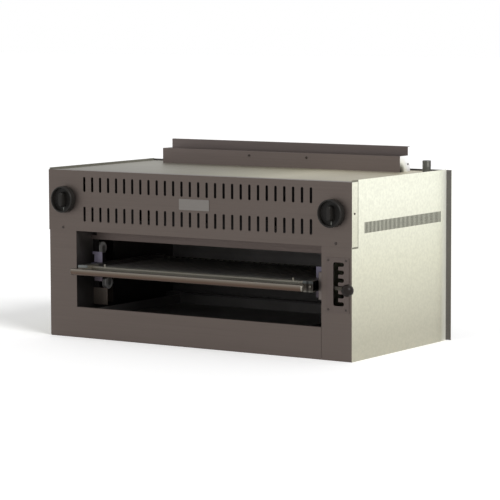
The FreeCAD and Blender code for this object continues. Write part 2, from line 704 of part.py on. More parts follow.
def flue_back():
    """The taller back plate of the flue, hemmed to the rear along its top."""
    inner = "(flue_half - skin)"
    plate = block("-" + inner, inner, FLUE_BACK, FLUE_BACK + " + skin", TOP, TOP + " + flue_back_rise")
    hem = block("-" + inner, inner, FLUE_BACK, FLUE_BACK + " + flue_hem",
                TOP + " + flue_back_rise - skin", TOP + " + flue_back_rise")
    return fuse(plate, hem)


def flue_sides():
    """The two side plates of the flue."""
    plates = []
    for span in both_sides("flue_half - skin", "flue_half"):
        plates.append(block(*span, FLUE_FRONT + " + skin", FLUE_SIDE_END, TOP, TOP + " + flue_rise"))
    return group(*plates)


# Cavity

def header_baffle():
    """The baffle between the control panel and the burners."""
    body = new_body("0", "baffle_depth")
    near = "(opening_half - relief_width)"
    high = "relief_bottom + relief_height"
    face = outline(sketch_on(body, "XZ_Plane"), (
        ("-opening_half", "baffle_bottom"), ("opening_half", "baffle_bottom"),
        ("opening_half", "relief_bottom"), (near, "relief_bottom"), (near, high), ("opening_half", high),
        ("opening_half", "baffle_top"), ("-opening_half", "baffle_top"),
        ("-opening_half", high), ("-" + near, high), ("-" + near, "relief_bottom"),
        ("-opening_half", "relief_bottom")))
    pad(body, face, "skin", backwards=True)
    return body


def cavity_side():
    """A side wall of the cavity, with a ledge for the pan and a slot for the spring arm."""
    body = new_body("opening_half")
    wall = rectangle(sketch_on(body, "YZ_Plane"), "2 * skin", REAR_WALL, "liner_bottom", "liner_top")
    pad(body, wall, "skin")
    arm = "(rack_level - arm_drop - arm_thick)"
    lowest = "%s - %s - slot_room" % (arm, LIFT_DOWN)
    highest = "%s + arm_thick + %s + slot_room" % (arm, LIFT_UP)
    passage = rectangle(sketch_on(body, "YZ_Plane"), "shaft_depth - arm_half - slot_room",
                        "shaft_depth + arm_half + slot_room", lowest, highest)
    pocket_through(body, passage)
    ledge = block("ledge_inner", "opening_half", "ledge_start", PAN_BACK, "liner_bottom", LEDGE_TOP)
    flange = block(LINER_OUT, LINER_OUT + " + liner_flange", "2 * skin", "3 * skin", "liner_bottom",
                   "apron_bottom - skin")
    return fuse(body, ledge, flange)


def lever_passage():
    """The slot in the right wall that the latch lever swings and lifts in."""
    room = "(lever_height / 2 + 2 * slot_room)"
    return block("opening_half - skin", LINER_OUT + " + skin", "pivot_depth - 5 * slot_room",
                 "pivot_depth + slot_room", "rack_level - %s - %s" % (LIFT_DOWN, room),
                 "rack_level + %s + %s" % (LIFT_UP, room))


def cavity_rear():
    """The rear wall of the cavity, stepped forward below the pan's rim."""
    body = new_body()
    step = "rear_step_height"
    section = outline(sketch_on(body, "YZ_Plane"), (
        (REAR_STEP, "skin"), (REAR_STEP + " + skin", "skin"),
        (REAR_STEP + " + skin", step + " - skin"), (REAR_WALL + " + skin", step + " - skin"),
        (REAR_WALL + " + skin", TOP_UNDER), (REAR_WALL, TOP_UNDER), (REAR_WALL, step),
        (REAR_STEP, step)))
    pad(body, section, "2 * opening_half", both_ways=True)
    return body


def drip_pan():
    """The drip pan, a tray on the two ledges."""
    outer = block("-pan_half", "pan_half", "pan_front", PAN_BACK, LEDGE_TOP, LEDGE_TOP + " + pan_height")
    inner = "(pan_half - pan_wall)"
    hollow = block("-" + inner, inner, "pan_front + pan_wall", PAN_BACK + " - pan_wall",
                   LEDGE_TOP + " + pan_wall", LEDGE_TOP + " + pan_height + pan_wall")
    return cut(outer, hollow)


# Burners and gas train

def burner_housing():
    """The heat shield over both burners, open below."""
    body = new_body("0", "baffle_depth + skin", "housing_bottom")
    tall = "(housing_top - housing_bottom)"
    pad(body, rectangle(sketch_on(body, "XZ_Plane"), "-housing_half", "housing_half", "0", tall),
        HOUSING_BACK + " - baffle_depth - skin", backwards=True)
    inner = "(housing_half - skin)"
    room = block("-" + inner, inner, "baffle_depth + 2 * skin", HOUSING_BACK + " - skin",
                 "housing_bottom - skin", "housing_top - skin")
    holes = []
    for sign in ("", "-"):
        holes.append(round_bar(AXIS_Y, "mixer_radius + slot_room / 4", "4 * skin", sign + "mixer_place",
                               "baffle_depth - skin", "mixer_level"))
        holes.append(round_bar(AXIS_Y, "pilot_radius + slot_room / 4", "4 * skin", sign + "pilot_place",
                               "baffle_depth - skin", "pilot_level"))
    return cut(body, room, *holes)


def burner():
    """One infrared burner: a flat gas chamber with its mixing tube."""
    floor = "(%s + tile_thick)" % TILE_FACE
    roof = "(%s + burner_height)" % floor
    chamber = block("burner_inner", "burner_outer", "burner_start", BURNER_BACK, floor, roof)
    tube = round_bar(AXIS_Y, "mixer_radius", "mixer_length", "mixer_place", "mixer_mouth", "mixer_level")
    neck = block("mixer_place - mixer_radius", "mixer_place + mixer_radius",
                 "mixer_mouth + mixer_length - 2 * mixer_radius", "mixer_mouth + mixer_length",
                 roof, "mixer_level")
    bore = round_bar(AXIS_Y, "mixer_radius - mixer_wall", "mixer_length - mixer_radius", "mixer_place",
                     "mixer_mouth - mixer_wall", "mixer_level")
    return cut(fuse(chamber, tube, neck), bore)


def ceramic_tiles():
    """The tiles whose lower faces glow, three by three under each burner."""
    wide = "((burner_outer - burner_inner - %d * tile_gap) / %d)" % (TILE_ROWS - 1, TILE_ROWS)
    deep = "((" + BURNER_BACK + " - burner_start - %d * tile_gap) / %d)" % (TILE_ROWS - 1, TILE_ROWS)
    tiles = []
    for column in range(TILE_ROWS):
        for row_back in range(TILE_ROWS):
            x_low = "burner_inner + %d * (%s + tile_gap)" % (column, wide)
            start = "burner_start + %d * (%s + tile_gap)" % (row_back, deep)
            for span in both_sides(x_low, "%s + %s" % (x_low, wide)):
                tiles.append(block(*span, start, "%s + %s" % (start, deep), TILE_FACE,
                                   TILE_FACE + " + tile_thick"))
    return group(*tiles)


def manifold_pipe():
    """The manifold behind the control panel, with a boss for each valve and a rear branch."""
    main = round_bar(AXIS_X, "pipe_radius", "manifold_left + manifold_right", "-manifold_left",
                     "manifold_depth", "knob_level")
    branch = round_bar(AXIS_Y, "pipe_radius", "regulator_front - manifold_depth", "inlet_place",
                       "manifold_depth", "knob_level")
    bosses = []
    for sign in ("", "-"):
        bosses.append(round_bar(AXIS_Y, "boss_radius", "manifold_depth - boss_depth", sign + "knob_place",
                                "boss_depth", "knob_level"))
    tee = round_bar(AXIS_X, "pipe_radius + tee_wall", "2 * tee_reach", "inlet_place - tee_reach",
                    "manifold_depth", "knob_level")
    collar = round_bar(AXIS_Y, "pipe_radius + tee_wall / 2", "tee_reach", "inlet_place", "manifold_depth",
                       "knob_level")
    return fuse(main, branch, tee, collar, *bosses)


def gas_inlet_pipe():
    """The inlet pipe: down through the top panel to an elbow, then forward to the regulator."""
    sleeve = "(pipe_radius + tee_wall)"
    drop = round_bar(AXIS_Z, "pipe_radius", INLET_TOP + " - knob_level", "inlet_place", INLET, "knob_level")
    run = round_bar(AXIS_Y, "pipe_radius", INLET + " - regulator_back", "inlet_place", "regulator_back",
                    "knob_level")
    elbow = round_bar(AXIS_Z, sleeve, "2 * " + sleeve, "inlet_place", INLET, "knob_level - " + sleeve)
    collar = round_bar(AXIS_Y, "pipe_radius + tee_wall / 2", "tee_reach + tee_wall", "inlet_place",
                       INLET + " - tee_reach - tee_wall", "knob_level")
    mouth = round_bar(AXIS_Z, "pipe_bore", "2 * inlet_mouth", "inlet_place", INLET,
                      INLET_TOP + " - inlet_mouth")
    return cut(fuse(drop, run, elbow, collar), mouth)


def pressure_regulator():
    """The gas pressure regulator, with its diaphragm case and cap."""
    middle = "(regulator_front + regulator_back) / 2"
    half = "(pipe_radius + 4 * skin)"
    case = block("inlet_place - " + half, "inlet_place + " + half, "regulator_front", "regulator_back",
                 "knob_level - " + half, "knob_level + " + half)
    drum = round_bar(AXIS_Z, "regulator_radius", half, "inlet_place", middle, "knob_level + " + half)
    cap = round_bar(AXIS_Z, "regulator_radius / 3", "2 * " + half, "inlet_place", middle,
                    "knob_level + " + half)
    return fuse(case, drum, cap)


def gas_valve(sign):
    """A burner valve, with a bored bonnet for its stem."""
    x = sign + "knob_place"
    case = block(x + " - valve_half", x + " + valve_half", "valve_front", "boss_depth",
                 "knob_level - valve_half", "knob_level + valve_half")
    bonnet = round_bar(AXIS_Y, "bonnet_radius", "valve_front - bonnet_front", x, "bonnet_front",
                       "knob_level")
    bore = round_bar(AXIS_Y, "stem_radius + running", "stem_end + skin", x, "0", "knob_level")
    return cut(fuse(case, bonnet), bore)


def supply_tubes():
    """A tube from each valve to the orifice block in front of its burner."""
    tubes = []
    for span in both_sides("mixer_place", "knob_place - valve_half"):
        run = prism(AXIS_X, TUBE_FLATS, "supply_radius", "knob_place - valve_half - mixer_place", span[0],
                    "supply_depth", "supply_level")
        near = "mixer_place" if span[0] == "mixer_place" else "-mixer_place"
        drop = prism(AXIS_Z, TUBE_FLATS, "supply_radius", "supply_level - mixer_level", near,
                     "supply_depth", "mixer_level")
        end = "mixer_place - supply_radius" if near == "mixer_place" else "-mixer_place"
        elbow = block(end, end + " + supply_radius",
                      "supply_depth - supply_radius", "supply_depth + supply_radius",
                      "supply_level - supply_radius", "supply_level + supply_radius")
        spud = block(near + " - spud_half", near + " + spud_half", "supply_depth - spud_half",
                     "supply_depth + spud_half", "mixer_level - spud_half", "mixer_level + spud_half")
        nozzle = round_bar(AXIS_Y, "supply_radius", "mixer_mouth - supply_depth", near, "supply_depth",
                           "mixer_level")
        tubes.append(fuse(run, drop, elbow, spud, nozzle))
    return group(*tubes)


def pilot_burners():
    """Two pilot tubes between the burners, each with a head beside the tiles."""
    tubes = []
    fitting = "(pilot_radius + skin)"
    for sign in ("", "-"):
        x = sign + "pilot_place"
        feed = prism(AXIS_Z, TUBE_FLATS, "pilot_radius", "knob_level - pipe_radius - pilot_level", x,
                     "manifold_depth", "pilot_level")
        run = prism(AXIS_Y, TUBE_FLATS, "pilot_radius", "pilot_reach - manifold_depth", x,
                    "manifold_depth", "pilot_level")
        drop = prism(AXIS_Z, TUBE_FLATS, "pilot_radius", "pilot_level - pilot_drop", x, "pilot_reach",
                     "pilot_drop")
        elbows = []
        for along in ("manifold_depth", "pilot_reach"):
            elbows.append(block(x + " - " + fitting, x + " + " + fitting,
                                along + " - " + fitting, along + " + " + fitting,
                                "pilot_level - " + fitting, "pilot_level + " + fitting))
        head = round_bar(AXIS_Z, "pilot_head", "tile_thick", x, "pilot_reach", "pilot_drop - tile_thick")
        tubes.append(fuse(feed, run, drop, head, *elbows))
    return group(*tubes)


def valve_stem(sign):
    """The stem that turns in a valve's bonnet."""
    return round_bar(AXIS_Y, "stem_radius", "stem_end - stem_start", sign + "knob_place", "stem_start",
                     "knob_level")


def knob(sign):
    """A control knob: a drum with a dished face and a tapered grip across the dish."""
    x = sign + "knob_place"
    body = new_body(x, "-knob_gap", "knob_level")
    section = outline(sketch_on(body, "YZ_Plane"), (
        ("0", "0"), ("0", "knob_radius"), ("-knob_skirt + knob_bevel", "knob_radius"),
        ("-knob_skirt", "knob_radius - knob_bevel"), ("-knob_skirt", "knob_radius - knob_rim"),
        ("-knob_floor", "knob_radius - knob_rim - knob_slope"), ("-knob_floor", "0")))
    drum = body.newObject("PartDesign::Revolution", "Drum")
    drum.Profile = section
    drum.ReferenceAxis = (section, ["H_Axis"])
    drum.Angle = 360
    grip = doc.addObject("Part::Wedge", "Grip")
    forwards = FreeCAD.Rotation(FreeCAD.Vector(0, 0, 1), 180)
    leaning = FreeCAD.Rotation(FreeCAD.Vector(0, 1, 0), -size("grip_turn"))
    grip.Placement = FreeCAD.Placement(FreeCAD.Vector(), leaning * forwards)
    for name, formula in (("Xmin", "-grip_half"), ("Xmax", "grip_half"), ("Zmin", "-grip_reach"),
                          ("Zmax", "grip_reach"), ("Ymin", "0"),
                          ("Ymax", "knob_skirt - knob_floor + grip_height + skin"),
                          ("X2min", "-grip_crest"), ("X2max", "grip_crest"),
                          ("Z2min", "-grip_reach + grip_taper"), ("Z2max", "grip_reach - grip_taper")):
        grip.setExpression(name, bound(formula))
    place(grip, x, "-knob_gap - knob_floor + skin", "knob_level")
    bore = round_bar(AXIS_Y, "stem_radius + running", "-stem_start", x, "stem_start - running",
                     "knob_level")
    return cut(fuse(body, grip), bore)


# Lift

def guide_rail():
    """A vertical guide for the rollers: a channel with a wide foot on its front flange."""
    body = new_body("0", "0", "guide_bottom")
    back = "guide_front + guide_width"
    lip = "opening_half - guide_lip"
    web = "opening_half - guide_wall"
    section = outline(sketch_on(body, "XY_Plane"), (
        ("opening_half", "guide_front"), ("opening_half", back), (lip, back), (lip, back + " - guide_wall"),
        (web, back + " - guide_wall"), (web, "guide_front + guide_wall"), (lip, "guide_front + guide_wall"),
        (lip, "guide_front")))
    pad(body, section, "guide_top - guide_bottom")
    foot = rectangle(sketch_on(body, "XY_Plane"), "opening_half - foot_reach", "opening_half - guide_wall",
                     "guide_front", "guide_front + guide_wall")
    pad(body, foot, "foot_height")
    return body


def plate_block(depth_low, depth_high, down, up):
    """A rectangle of the carriage plate, from below to above the rack level."""
    return block("plate_face", "plate_face + guide_wall", depth_low, depth_high,
                 "rack_level - (%s)" % down, "rack_level + " + up)


def carriage():
    """A carriage: a plate with roller ears, a front arm and flange, and a spring arm."""
    pieces = [plate_block("plate_start", "plate_back", "plate_down", "plate_up"),
              plate_block("arm_start", "plate_start", "arm_down", "arm_up")]
    for along, up, down in ((UPPER_ROLLER, "roller_up", "0"), (LOWER_ROLLER, "0", "roller_down")):
        pieces.append(plate_block(along + " - ear_half", along + " + ear_half", down, up))
    for along, height in ((UPPER_ROLLER, "rack_level + roller_up"),
                          (LOWER_ROLLER, "rack_level - roller_down")):
        pieces.append(round_bar(AXIS_X, "ear_half", "guide_wall", "plate_face", along, height))
    pieces.append(block("plate_face - fin_width", "plate_face + guide_wall", "fin_depth",
                        "fin_depth + guide_wall", "rack_level - fin_down", "rack_level + fin_up"))
    pieces.append(block("plate_face", "plate_face + tab_reach", "fin_depth", "fin_depth + guide_wall",
                        "rack_level + fin_up - tab_reach", "rack_level + fin_up"))
    arm = "(rack_level - arm_drop - arm_thick)"
    pieces.append(block("plate_face + guide_wall", "spring_place + arm_half", "shaft_depth - arm_half",
                        "shaft_depth + arm_half", arm, arm + " + arm_thick"))
    holes = [round_bar(AXIS_X, "shaft_radius", "3 * guide_wall", "plate_face - guide_wall", "shaft_depth",
                       "rack_level - shaft_drop"),
             block("plate_face - fin_width - guide_wall", "plate_face", "fin_depth - guide_wall",
                   "fin_depth + 2 * guide_wall", "rack_level - rail_half - guide_wall",
                   "rack_level + rail_half + guide_wall")]
    return cut(fuse(*pieces), *holes)


def roller_places():
    """Depth and height of the four rollers on one carriage."""
    yield UPPER_ROLLER, "rack_level + roller_up"
    yield LOWER_ROLLER, "rack_level - roller_down"
    yield "rack_roller_front", "rack_level"
    yield "rack_roller_back", "rack_level"


def lever_lugs():
    """The two lugs on the right carriage that hold the latch lever."""
    reach = "(eye_radius + skin)"
    lugs = []
    near = "(lever_height / 2 + lug_gap)"
    for low in ("rack_level + " + near, "rack_level - %s - lug_thick" % near):
        lug = block("plate_face + guide_wall", "pivot_place + " + reach, "pivot_depth - " + reach,
                    "pivot_depth + 2 * " + reach, low, low + " + lug_thick")
        hole = round_bar(AXIS_Z, "neck_radius", "3 * lug_thick", "pivot_place", "pivot_depth",
                         low + " - lug_thick")
        lugs.append(cut(lug, hole))
    return lugs


def lever_pin():
    """The bolt on which the latch lever turns, with its nut below."""
    reach = "(lever_height / 2 + lug_gap + lug_thick)"
    pin = round_bar(AXIS_Z, "neck_radius", "2 * " + reach, "pivot_place", "pivot_depth",
                    "rack_level - " + reach)
    heads = [hexagon(AXIS_Z, "lug_thick", "pivot_place", "pivot_depth", low)
             for low in ("rack_level + " + reach, "rack_level - %s - lug_thick" % reach)]
    return fuse(pin, *heads)


def lever_pose(piece):
    """Turn a piece drawn straight ahead of the pivot into the lever's place."""
    piece.Placement = FreeCAD.Placement(FreeCAD.Vector(), FreeCAD.Rotation(FreeCAD.Vector(0, 0, 1), 10))
    piece.setExpression("Placement.Rotation.Angle", bound("lever_angle * 1 deg"))
    return place(piece, "pivot_place", "pivot_depth", "rack_level")


def at_pivot(piece, x="0", y="0", z="0"):
    """Place a piece in the lever's own frame, whose origin is the pivot."""
    for axis, formula in zip("xyz", (x, y, z)):
        piece.setExpression("Placement.Base." + axis, bound(formula))
    return piece


def latch_lever():
    """The latch lever: an eye, a flat bar and a round neck for the ball."""
    low = "-lever_height / 2"
    eye = at_pivot(round_bar(AXIS_Z, "eye_radius", "lever_height", "0", "0", "0"), z=low)
    bar_length = "(lever_length - neck_length)"
    bar = doc.addObject("Part::Box", "Bar")
    bar.setExpression("Length", bound("lever_thick"))
    bar.setExpression("Width", bound(bar_length))
    bar.setExpression("Height", bound("lever_height"))
    at_pivot(bar, "-lever_thick / 2", "-" + bar_length, low)
    neck = round_bar(AXIS_Y, "neck_radius", "neck_length", "0", "0", "0")
    at_pivot(neck, y="-lever_length + ball_radius - ball_grip")
    bore = at_pivot(round_bar(AXIS_Z, "neck_radius + running", "2 * lever_height", "0", "0", "0"),
                    z="-lever_height")
    return lever_pose(cut(fuse(eye, bar, neck), bore))


def ball_knob():
    """The ball on the lever's end, turned in flat bands and bored for the neck."""
    ball = doc.addObject("PartDesign::Body", "Body")
    profile = sketch_on(ball, "XY_Plane")
    corners = []
    for band in range(BALL_BANDS + 1):
        angle = "(%s deg)" % (180 * band / BALL_BANDS - 90)
        corners.append(("ball_radius * cos%s" % angle, "ball_radius * sin%s" % angle))
    corners[0] = ("0", "-ball_radius")
    corners[-1] = ("0", "ball_radius")
    outline(profile, corners)
    turned = ball.newObject("PartDesign::Revolution", "Turned")
    turned.Profile = profile
    turned.ReferenceAxis = (profile, ["V_Axis"])
    turned.Angle = 360
    at_pivot(ball, y="-lever_length")
    bore = round_bar(AXIS_Y, "neck_radius + running", "2 * ball_radius", "0", "0", "0")
    at_pivot(bore, y="-lever_length + ball_radius - ball_grip")
    return lever_pose(cut(ball, bore))


def roller(radius, width, x, along, height):
    """A bored roller with its axis from side to side."""
    return cut(round_bar(AXIS_X, radius, width, x, along, height),
               round_bar(AXIS_X, "stud_radius + running", width + " + 2 * skin", x + " - skin", along,
                         height))


def guide_stud(side, along, height):
    """A welded stud with a hexagon head that carries a guide roller, outside the carriage plate."""
    length = "(skin + guide_roller_width + skin)"
    stud = round_bar(AXIS_X, "stud_radius", length, "plate_face + guide_wall", along, height)
    right = fuse(stud, hexagon(AXIS_X, "skin", "plate_face + guide_wall + " + length, along, height))
    return right if side == "right" else mirror(right)


def rack_stud(side, along, height):
    """A welded stud with a hexagon head that carries a rack roller, inside the carriage plate."""
    inner = "(rack_roller_in - skin)"
    stud = round_bar(AXIS_X, "stud_radius", "plate_face - " + inner, inner, along, height)
    right = fuse(stud, hexagon(AXIS_X, "skin", inner + " - skin", along, height))
    return right if side == "right" else mirror(right)


def cross_shaft():
    """The shaft that keeps the two carriages level with each other."""
    reach = "(plate_face + guide_wall)"
    return round_bar(AXIS_X, "shaft_radius", "2 * " + reach, "-" + reach, "shaft_depth",
                     "rack_level - shaft_drop")


def spring_anchor():
    """The bracket on the cavity's side that a spring hangs from."""
    shelf = block(LINER_OUT, "spring_place + arm_half", "shaft_depth - arm_half", "shaft_depth + arm_half",
                  "anchor_bottom", "anchor_bottom + anchor_thick")
    leg = block(LINER_OUT, LINER_OUT + " + anchor_thick", "shaft_depth - arm_half",
                "shaft_depth + arm_half", "anchor_bottom - 4 * arm_half", "anchor_bottom")
    return fuse(shelf, leg)


def counterbalance_spring():
    """A counterbalance spring between its anchor and the spring arm, as the room its coils take."""
    low = "(rack_level - arm_drop)"
    return round_bar(AXIS_Z, "spring_radius", "anchor_bottom - " + low, "spring_place", "shaft_depth", low)


# Rack

def rack_rail():
    """A side rail of the rack: an outward channel whose web runs on as an ear, coped to the tube."""
    body = new_body("0", "rail_start", "rack_level")
    far = "rail_inner + rail_width"
    web = "rail_inner + rail_wall"
    inside = "(rail_half - rail_wall)"
    section = outline(sketch_on(body, "XZ_Plane"), (
        ("rail_inner", "-rail_half"), (far, "-rail_half"), (far, "-" + inside), (web, "-" + inside),
        (web, inside), (far, inside), (far, "rail_half"), ("rail_inner", "rail_half")))
    pad(body, section, RAIL_BACK + " - rail_start", backwards=True)
    ear = block("rail_inner", web, "lug_start", "rail_start + rail_wall", "rack_level - lug_half",
                "rack_level + lug_half")
    cope = round_bar(AXIS_X, "tube_radius", "2 * rail_width", "rail_inner - rail_wall", "-tube_out",
                     "rack_level")
    return cut(fuse(body, ear), cope)


def rack_bars():
    """The front bar, with a peg near each end, and the rear bar of the rack."""
    top = "rack_level + bar_up"
    low = "rack_level - bar_down"
    front = [block("-rail_inner", "rail_inner", "bar_front", "bar_front + bar_wall", low, top),
             block("-rail_inner", "rail_inner", "bar_front", "bar_front + bar_leg", top + " - rail_wall",
                   top)]
    for sign in ("", "-"):
        front.append(round_bar(AXIS_Z, "peg_radius", "peg_height", sign + "peg_place",
                               "bar_front + bar_leg / 2", top))
    rear = block("-rail_inner", "rail_inner", REAR_BAR, REAR_BAR + " + rear_bar_thick", low, top)
    return group(fuse(*front), rear)


def grid_rods():
    """The rods of the grid, from the front bar to the rear bar."""
    rods = []
    for index in range(ROD_COUNT):
        x = "rod_pitch * (%d)" % (index - ROD_COUNT // 2)
        rods.append(prism(AXIS_Y, ROD_FLATS, "rod_radius", REAR_BAR + " - bar_front - bar_wall", x,
                          "bar_front + bar_wall", "rack_level + rod_up"))
    return group(*rods)


def handle_tube():
    """The handle tube across the front of the rack, a pipe open right through."""
    bar, bore = (round_bar(AXIS_X, radius, "2 * tube_half", "-tube_half", "-tube_out", "rack_level")
                 for radius in ("tube_radius", "tube_bore"))
    return cut(bar, bore)


def tube_plug():
    """The plug in an end of the handle tube: a shank in the bore and a domed head."""
    shank = prism(AXIS_X, TUBE_FLATS, "tip_shank", "tip_depth + tip_rim", "tube_half - tip_depth",
                  "-tube_out", "rack_level")
    rim = round_bar(AXIS_X, "tube_radius", "tip_rim", "tube_half", "-tube_out", "rack_level")
    dome = doc.addObject("Part::Cone", "Dome")
    dome.Placement = FreeCAD.Placement(FreeCAD.Vector(), AXIS_X)
    dome.setExpression("Radius1", bound("tube_radius"))
    dome.setExpression("Radius2", bound("tip_crown"))
    dome.setExpression("Height", bound("tip_dome"))
    place(dome, "tube_half + tip_rim", "-tube_out", "rack_level")
    return fuse(shank, rim, dome)


node("base_panel", base_tray())
node("side_panel_left", mirror(node("side_panel_right", side_panel())))
node("rear_panel", rear_panel())
node("top_panel", top_panel())
node("control_panel", control_panel())
node("front_frame", front_frame())
node("right_stile", right_stile())
node("gate_plate", gate_plate())
node("badge_plate", badge_plate())
node("flue_front", flue_front())
node("flue_back", flue_back())
node("flue_sides", flue_sides())
node("header_baffle", header_baffle())
plain_side = cavity_side()
node("cavity_side_left", mirror(plain_side))
node("cavity_side_right", cut(plain_side, lever_passage()))
node("cavity_rear", cavity_rear())
node("drip_pan", drip_pan())
node("burner_housing", burner_housing())
node("burner_left", mirror(node("burner_right", burner())))
node("ceramic_tiles", ceramic_tiles())
node("manifold_pipe", manifold_pipe())
node("gas_inlet_pipe", gas_inlet_pipe())
node("pressure_regulator", pressure_regulator())
node("burner_supply_tubes", supply_tubes())
node("pilot_burners", pilot_burners())
for side, sign in (("left", "-"), ("right", "")):
    node("gas_valve_" + side, gas_valve(sign))
    node("valve_stem_" + side, valve_stem(sign))
    node("knob_" + side, knob(sign))
node("guide_rail_left", mirror(node("guide_rail_right", guide_rail())))
plain_carriage = carriage()
node("carriage_left", mirror(plain_carriage))
node("carriage_right", fuse(plain_carriage, *lever_lugs()))
node("cross_shaft", cross_shaft())
studs = []
for side, sign in (("left", -1), ("right", 1)):
    for level, (along, height) in zip(("upper", "lower"), list(roller_places())[:2]):
        inner = "plate_face + guide_wall + skin"
        start = inner if sign > 0 else "-(%s) - guide_roller_width" % inner
        node("guide_roller_%s_%s" % (side, level),
             roller("guide_roller_radius", "guide_roller_width", start, along, height))
        studs.append(guide_stud(side, along, height))
    for end, (along, height) in zip(("front", "rear"), list(roller_places())[2:]):
        start = "rack_roller_in" if sign > 0 else "-rack_roller_in - rack_roller_width"
        node("rack_roller_%s_%s" % (side, end),
             roller("rack_roller_radius", "rack_roller_width", start, along, height))
        studs.append(rack_stud(side, along, height))
node("roller_studs", group(*studs))
node("lever_pivot", lever_pin())
node("latch_lever", latch_lever())
node("ball_knob", ball_knob())
anchor = spring_anchor()
node("spring_anchors", group(anchor, mirror(anchor)))
node("counterbalance_spring_left", mirror(node("counterbalance_spring_right", counterbalance_spring())))
node("rack_rail_left", mirror(node("rack_rail_right", rack_rail())))
node("rack_cross_bars", rack_bars())
node("grid_rods", grid_rods())
node("handle_tube", handle_tube())
right_plug = tube_plug()
node("tube_plugs", group(right_plug, mirror(right_plug)))

doc.recompute()
for item in doc.Objects:
    if "Invalid" in item.State or "Error" in item.State:
        sys.exit("failed object: %s %s %s" % (item.Name, item.Label, item.State))
for piece in nodes:
    if piece.Shape.isNull() or not piece.Shape.isValid() or not piece.Shape.Solids:
        sys.exit("bad shape: " + piece.Label)

os.makedirs("parts", exist_ok=True)
for piece in nodes:
    piece.Shape.exportStep("parts/%s.step" % piece.Label)
print(len(nodes), "nodes written")
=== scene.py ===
# %% [markdown]
# This notebook dresses a salamander grill, the wide gas broiler that hangs over a kitchen range.
# Its sheets, rails and levers come from the engineering model, which stays where it is.
# What is added here is what a photograph shows and such a model leaves plain: the moulded
# knobs, the turned rollers, the coiled springs, the screws, the pipe thread and the finishes.

# %% Load the engineering model
import math

import bmesh
import bpy
import numpy as np
from mathutils import Matrix, Vector


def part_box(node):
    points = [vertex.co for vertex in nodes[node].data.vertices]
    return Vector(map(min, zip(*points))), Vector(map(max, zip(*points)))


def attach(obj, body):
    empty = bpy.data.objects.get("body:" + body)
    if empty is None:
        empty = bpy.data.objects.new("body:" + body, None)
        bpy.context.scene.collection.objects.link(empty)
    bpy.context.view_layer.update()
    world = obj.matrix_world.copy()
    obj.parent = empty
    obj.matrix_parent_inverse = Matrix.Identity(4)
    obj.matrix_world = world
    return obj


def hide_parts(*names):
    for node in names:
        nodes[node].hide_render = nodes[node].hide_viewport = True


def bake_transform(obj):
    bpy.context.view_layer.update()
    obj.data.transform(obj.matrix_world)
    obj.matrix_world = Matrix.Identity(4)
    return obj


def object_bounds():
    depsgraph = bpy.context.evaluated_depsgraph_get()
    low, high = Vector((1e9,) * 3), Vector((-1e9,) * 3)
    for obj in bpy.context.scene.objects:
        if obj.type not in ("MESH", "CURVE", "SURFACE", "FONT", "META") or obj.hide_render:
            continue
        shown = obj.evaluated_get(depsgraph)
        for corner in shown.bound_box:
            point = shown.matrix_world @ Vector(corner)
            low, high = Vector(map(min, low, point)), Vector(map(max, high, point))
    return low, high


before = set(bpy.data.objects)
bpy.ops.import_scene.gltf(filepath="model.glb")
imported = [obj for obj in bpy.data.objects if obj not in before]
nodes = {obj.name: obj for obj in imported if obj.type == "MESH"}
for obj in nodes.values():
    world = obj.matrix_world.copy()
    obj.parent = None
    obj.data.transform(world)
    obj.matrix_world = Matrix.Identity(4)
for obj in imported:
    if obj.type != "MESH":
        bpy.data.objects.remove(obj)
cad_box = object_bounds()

low_corner, high_corner = ([round(v, 3) for v in corner] for corner in cad_box)
print(len(nodes), "nodes, box from", low_corner, "to", high_corner)

# %% [markdown]
# Every new piece is a surface worked out on a grid of two parameters. The rows of the grid run
# along the piece and its columns go round it, so the faces are always the same four neighbours.
# One helper lays those faces, and a second one turns a profile round an axis, as a lathe does.

# %% Faces of a grid
NEARLY_UPRIGHT = 0.9


def grid_faces(rows, columns, closed_rows=False):
    """Four-cornered faces between neighbours of a grid whose columns close on themselves."""
    row = np.arange(rows if closed_rows else rows - 1)
    column = np.arange(columns)
    row, column = np.meshgrid(row, column, indexing="ij")
    next_row = (row + 1) % rows
    next_column = (column + 1) % columns
    corners = (row * columns + column, row * columns + next_column,
               next_row * columns + next_column, next_row * columns + column)
    return np.stack(corners, axis=-1).reshape(-1, 4)


def across_axis(axis):
    """The axis at length one, and two directions at right angles to it and to each other."""
    axis = np.asarray(axis, float) / np.linalg.norm(axis)
    helper = np.array([0.0, 0.0, 1.0]) if abs(axis[2]) < NEARLY_UPRIGHT else np.array([0.0, 1.0, 0.0])
    side = np.cross(helper, axis)
    side /= np.linalg.norm(side)
    return axis, side, np.cross(axis, side)


def turned(profile, centre, axis, count=48, closed=False):
    """A profile of (radius, distance) turned round an axis.

    Each point is centre + distance * axis + radius * (cos turn * side + sin turn * up).
    """
    axis, side, up = across_axis(axis)
    profile = np.asarray(profile, float)
    turn = np.linspace(0, 2 * np.pi, count, endpoint=False)
    ring = np.cos(turn)[:, None] * side + np.sin(turn)[:, None] * up
    along = profile[:, 1, None, None] * axis
    outwards = profile[:, 0, None, None] * ring
    points = np.asarray(centre, float) + along + outwards
    return points.reshape(-1, 3), grid_faces(len(profile), count, closed)


print("grid of 3 rows by 4 columns:", len(grid_faces(3, 4)), "faces")

# %% [markdown]
# A lathe profile with sharp corners looks like paper. Real edges are broken by the tool that
# makes them, so each convex corner gets a quarter circle of a few points, worked out at once.
# A tube along a path is the same idea with a ring that is carried from point to point.

# %% Rounded profiles and shapes
PATH_REFERENCE = (0.0, 1.0, 0.03)


def quarter(centre_r, centre_a, radius, start, end, count=5):
    """Points on an arc: centre + radius * (cos angle, sin angle), from start to end in degrees."""
    angle = np.radians(np.linspace(start, end, count))
    return np.stack([centre_r + radius * np.cos(angle), centre_a + radius * np.sin(angle)], axis=1)


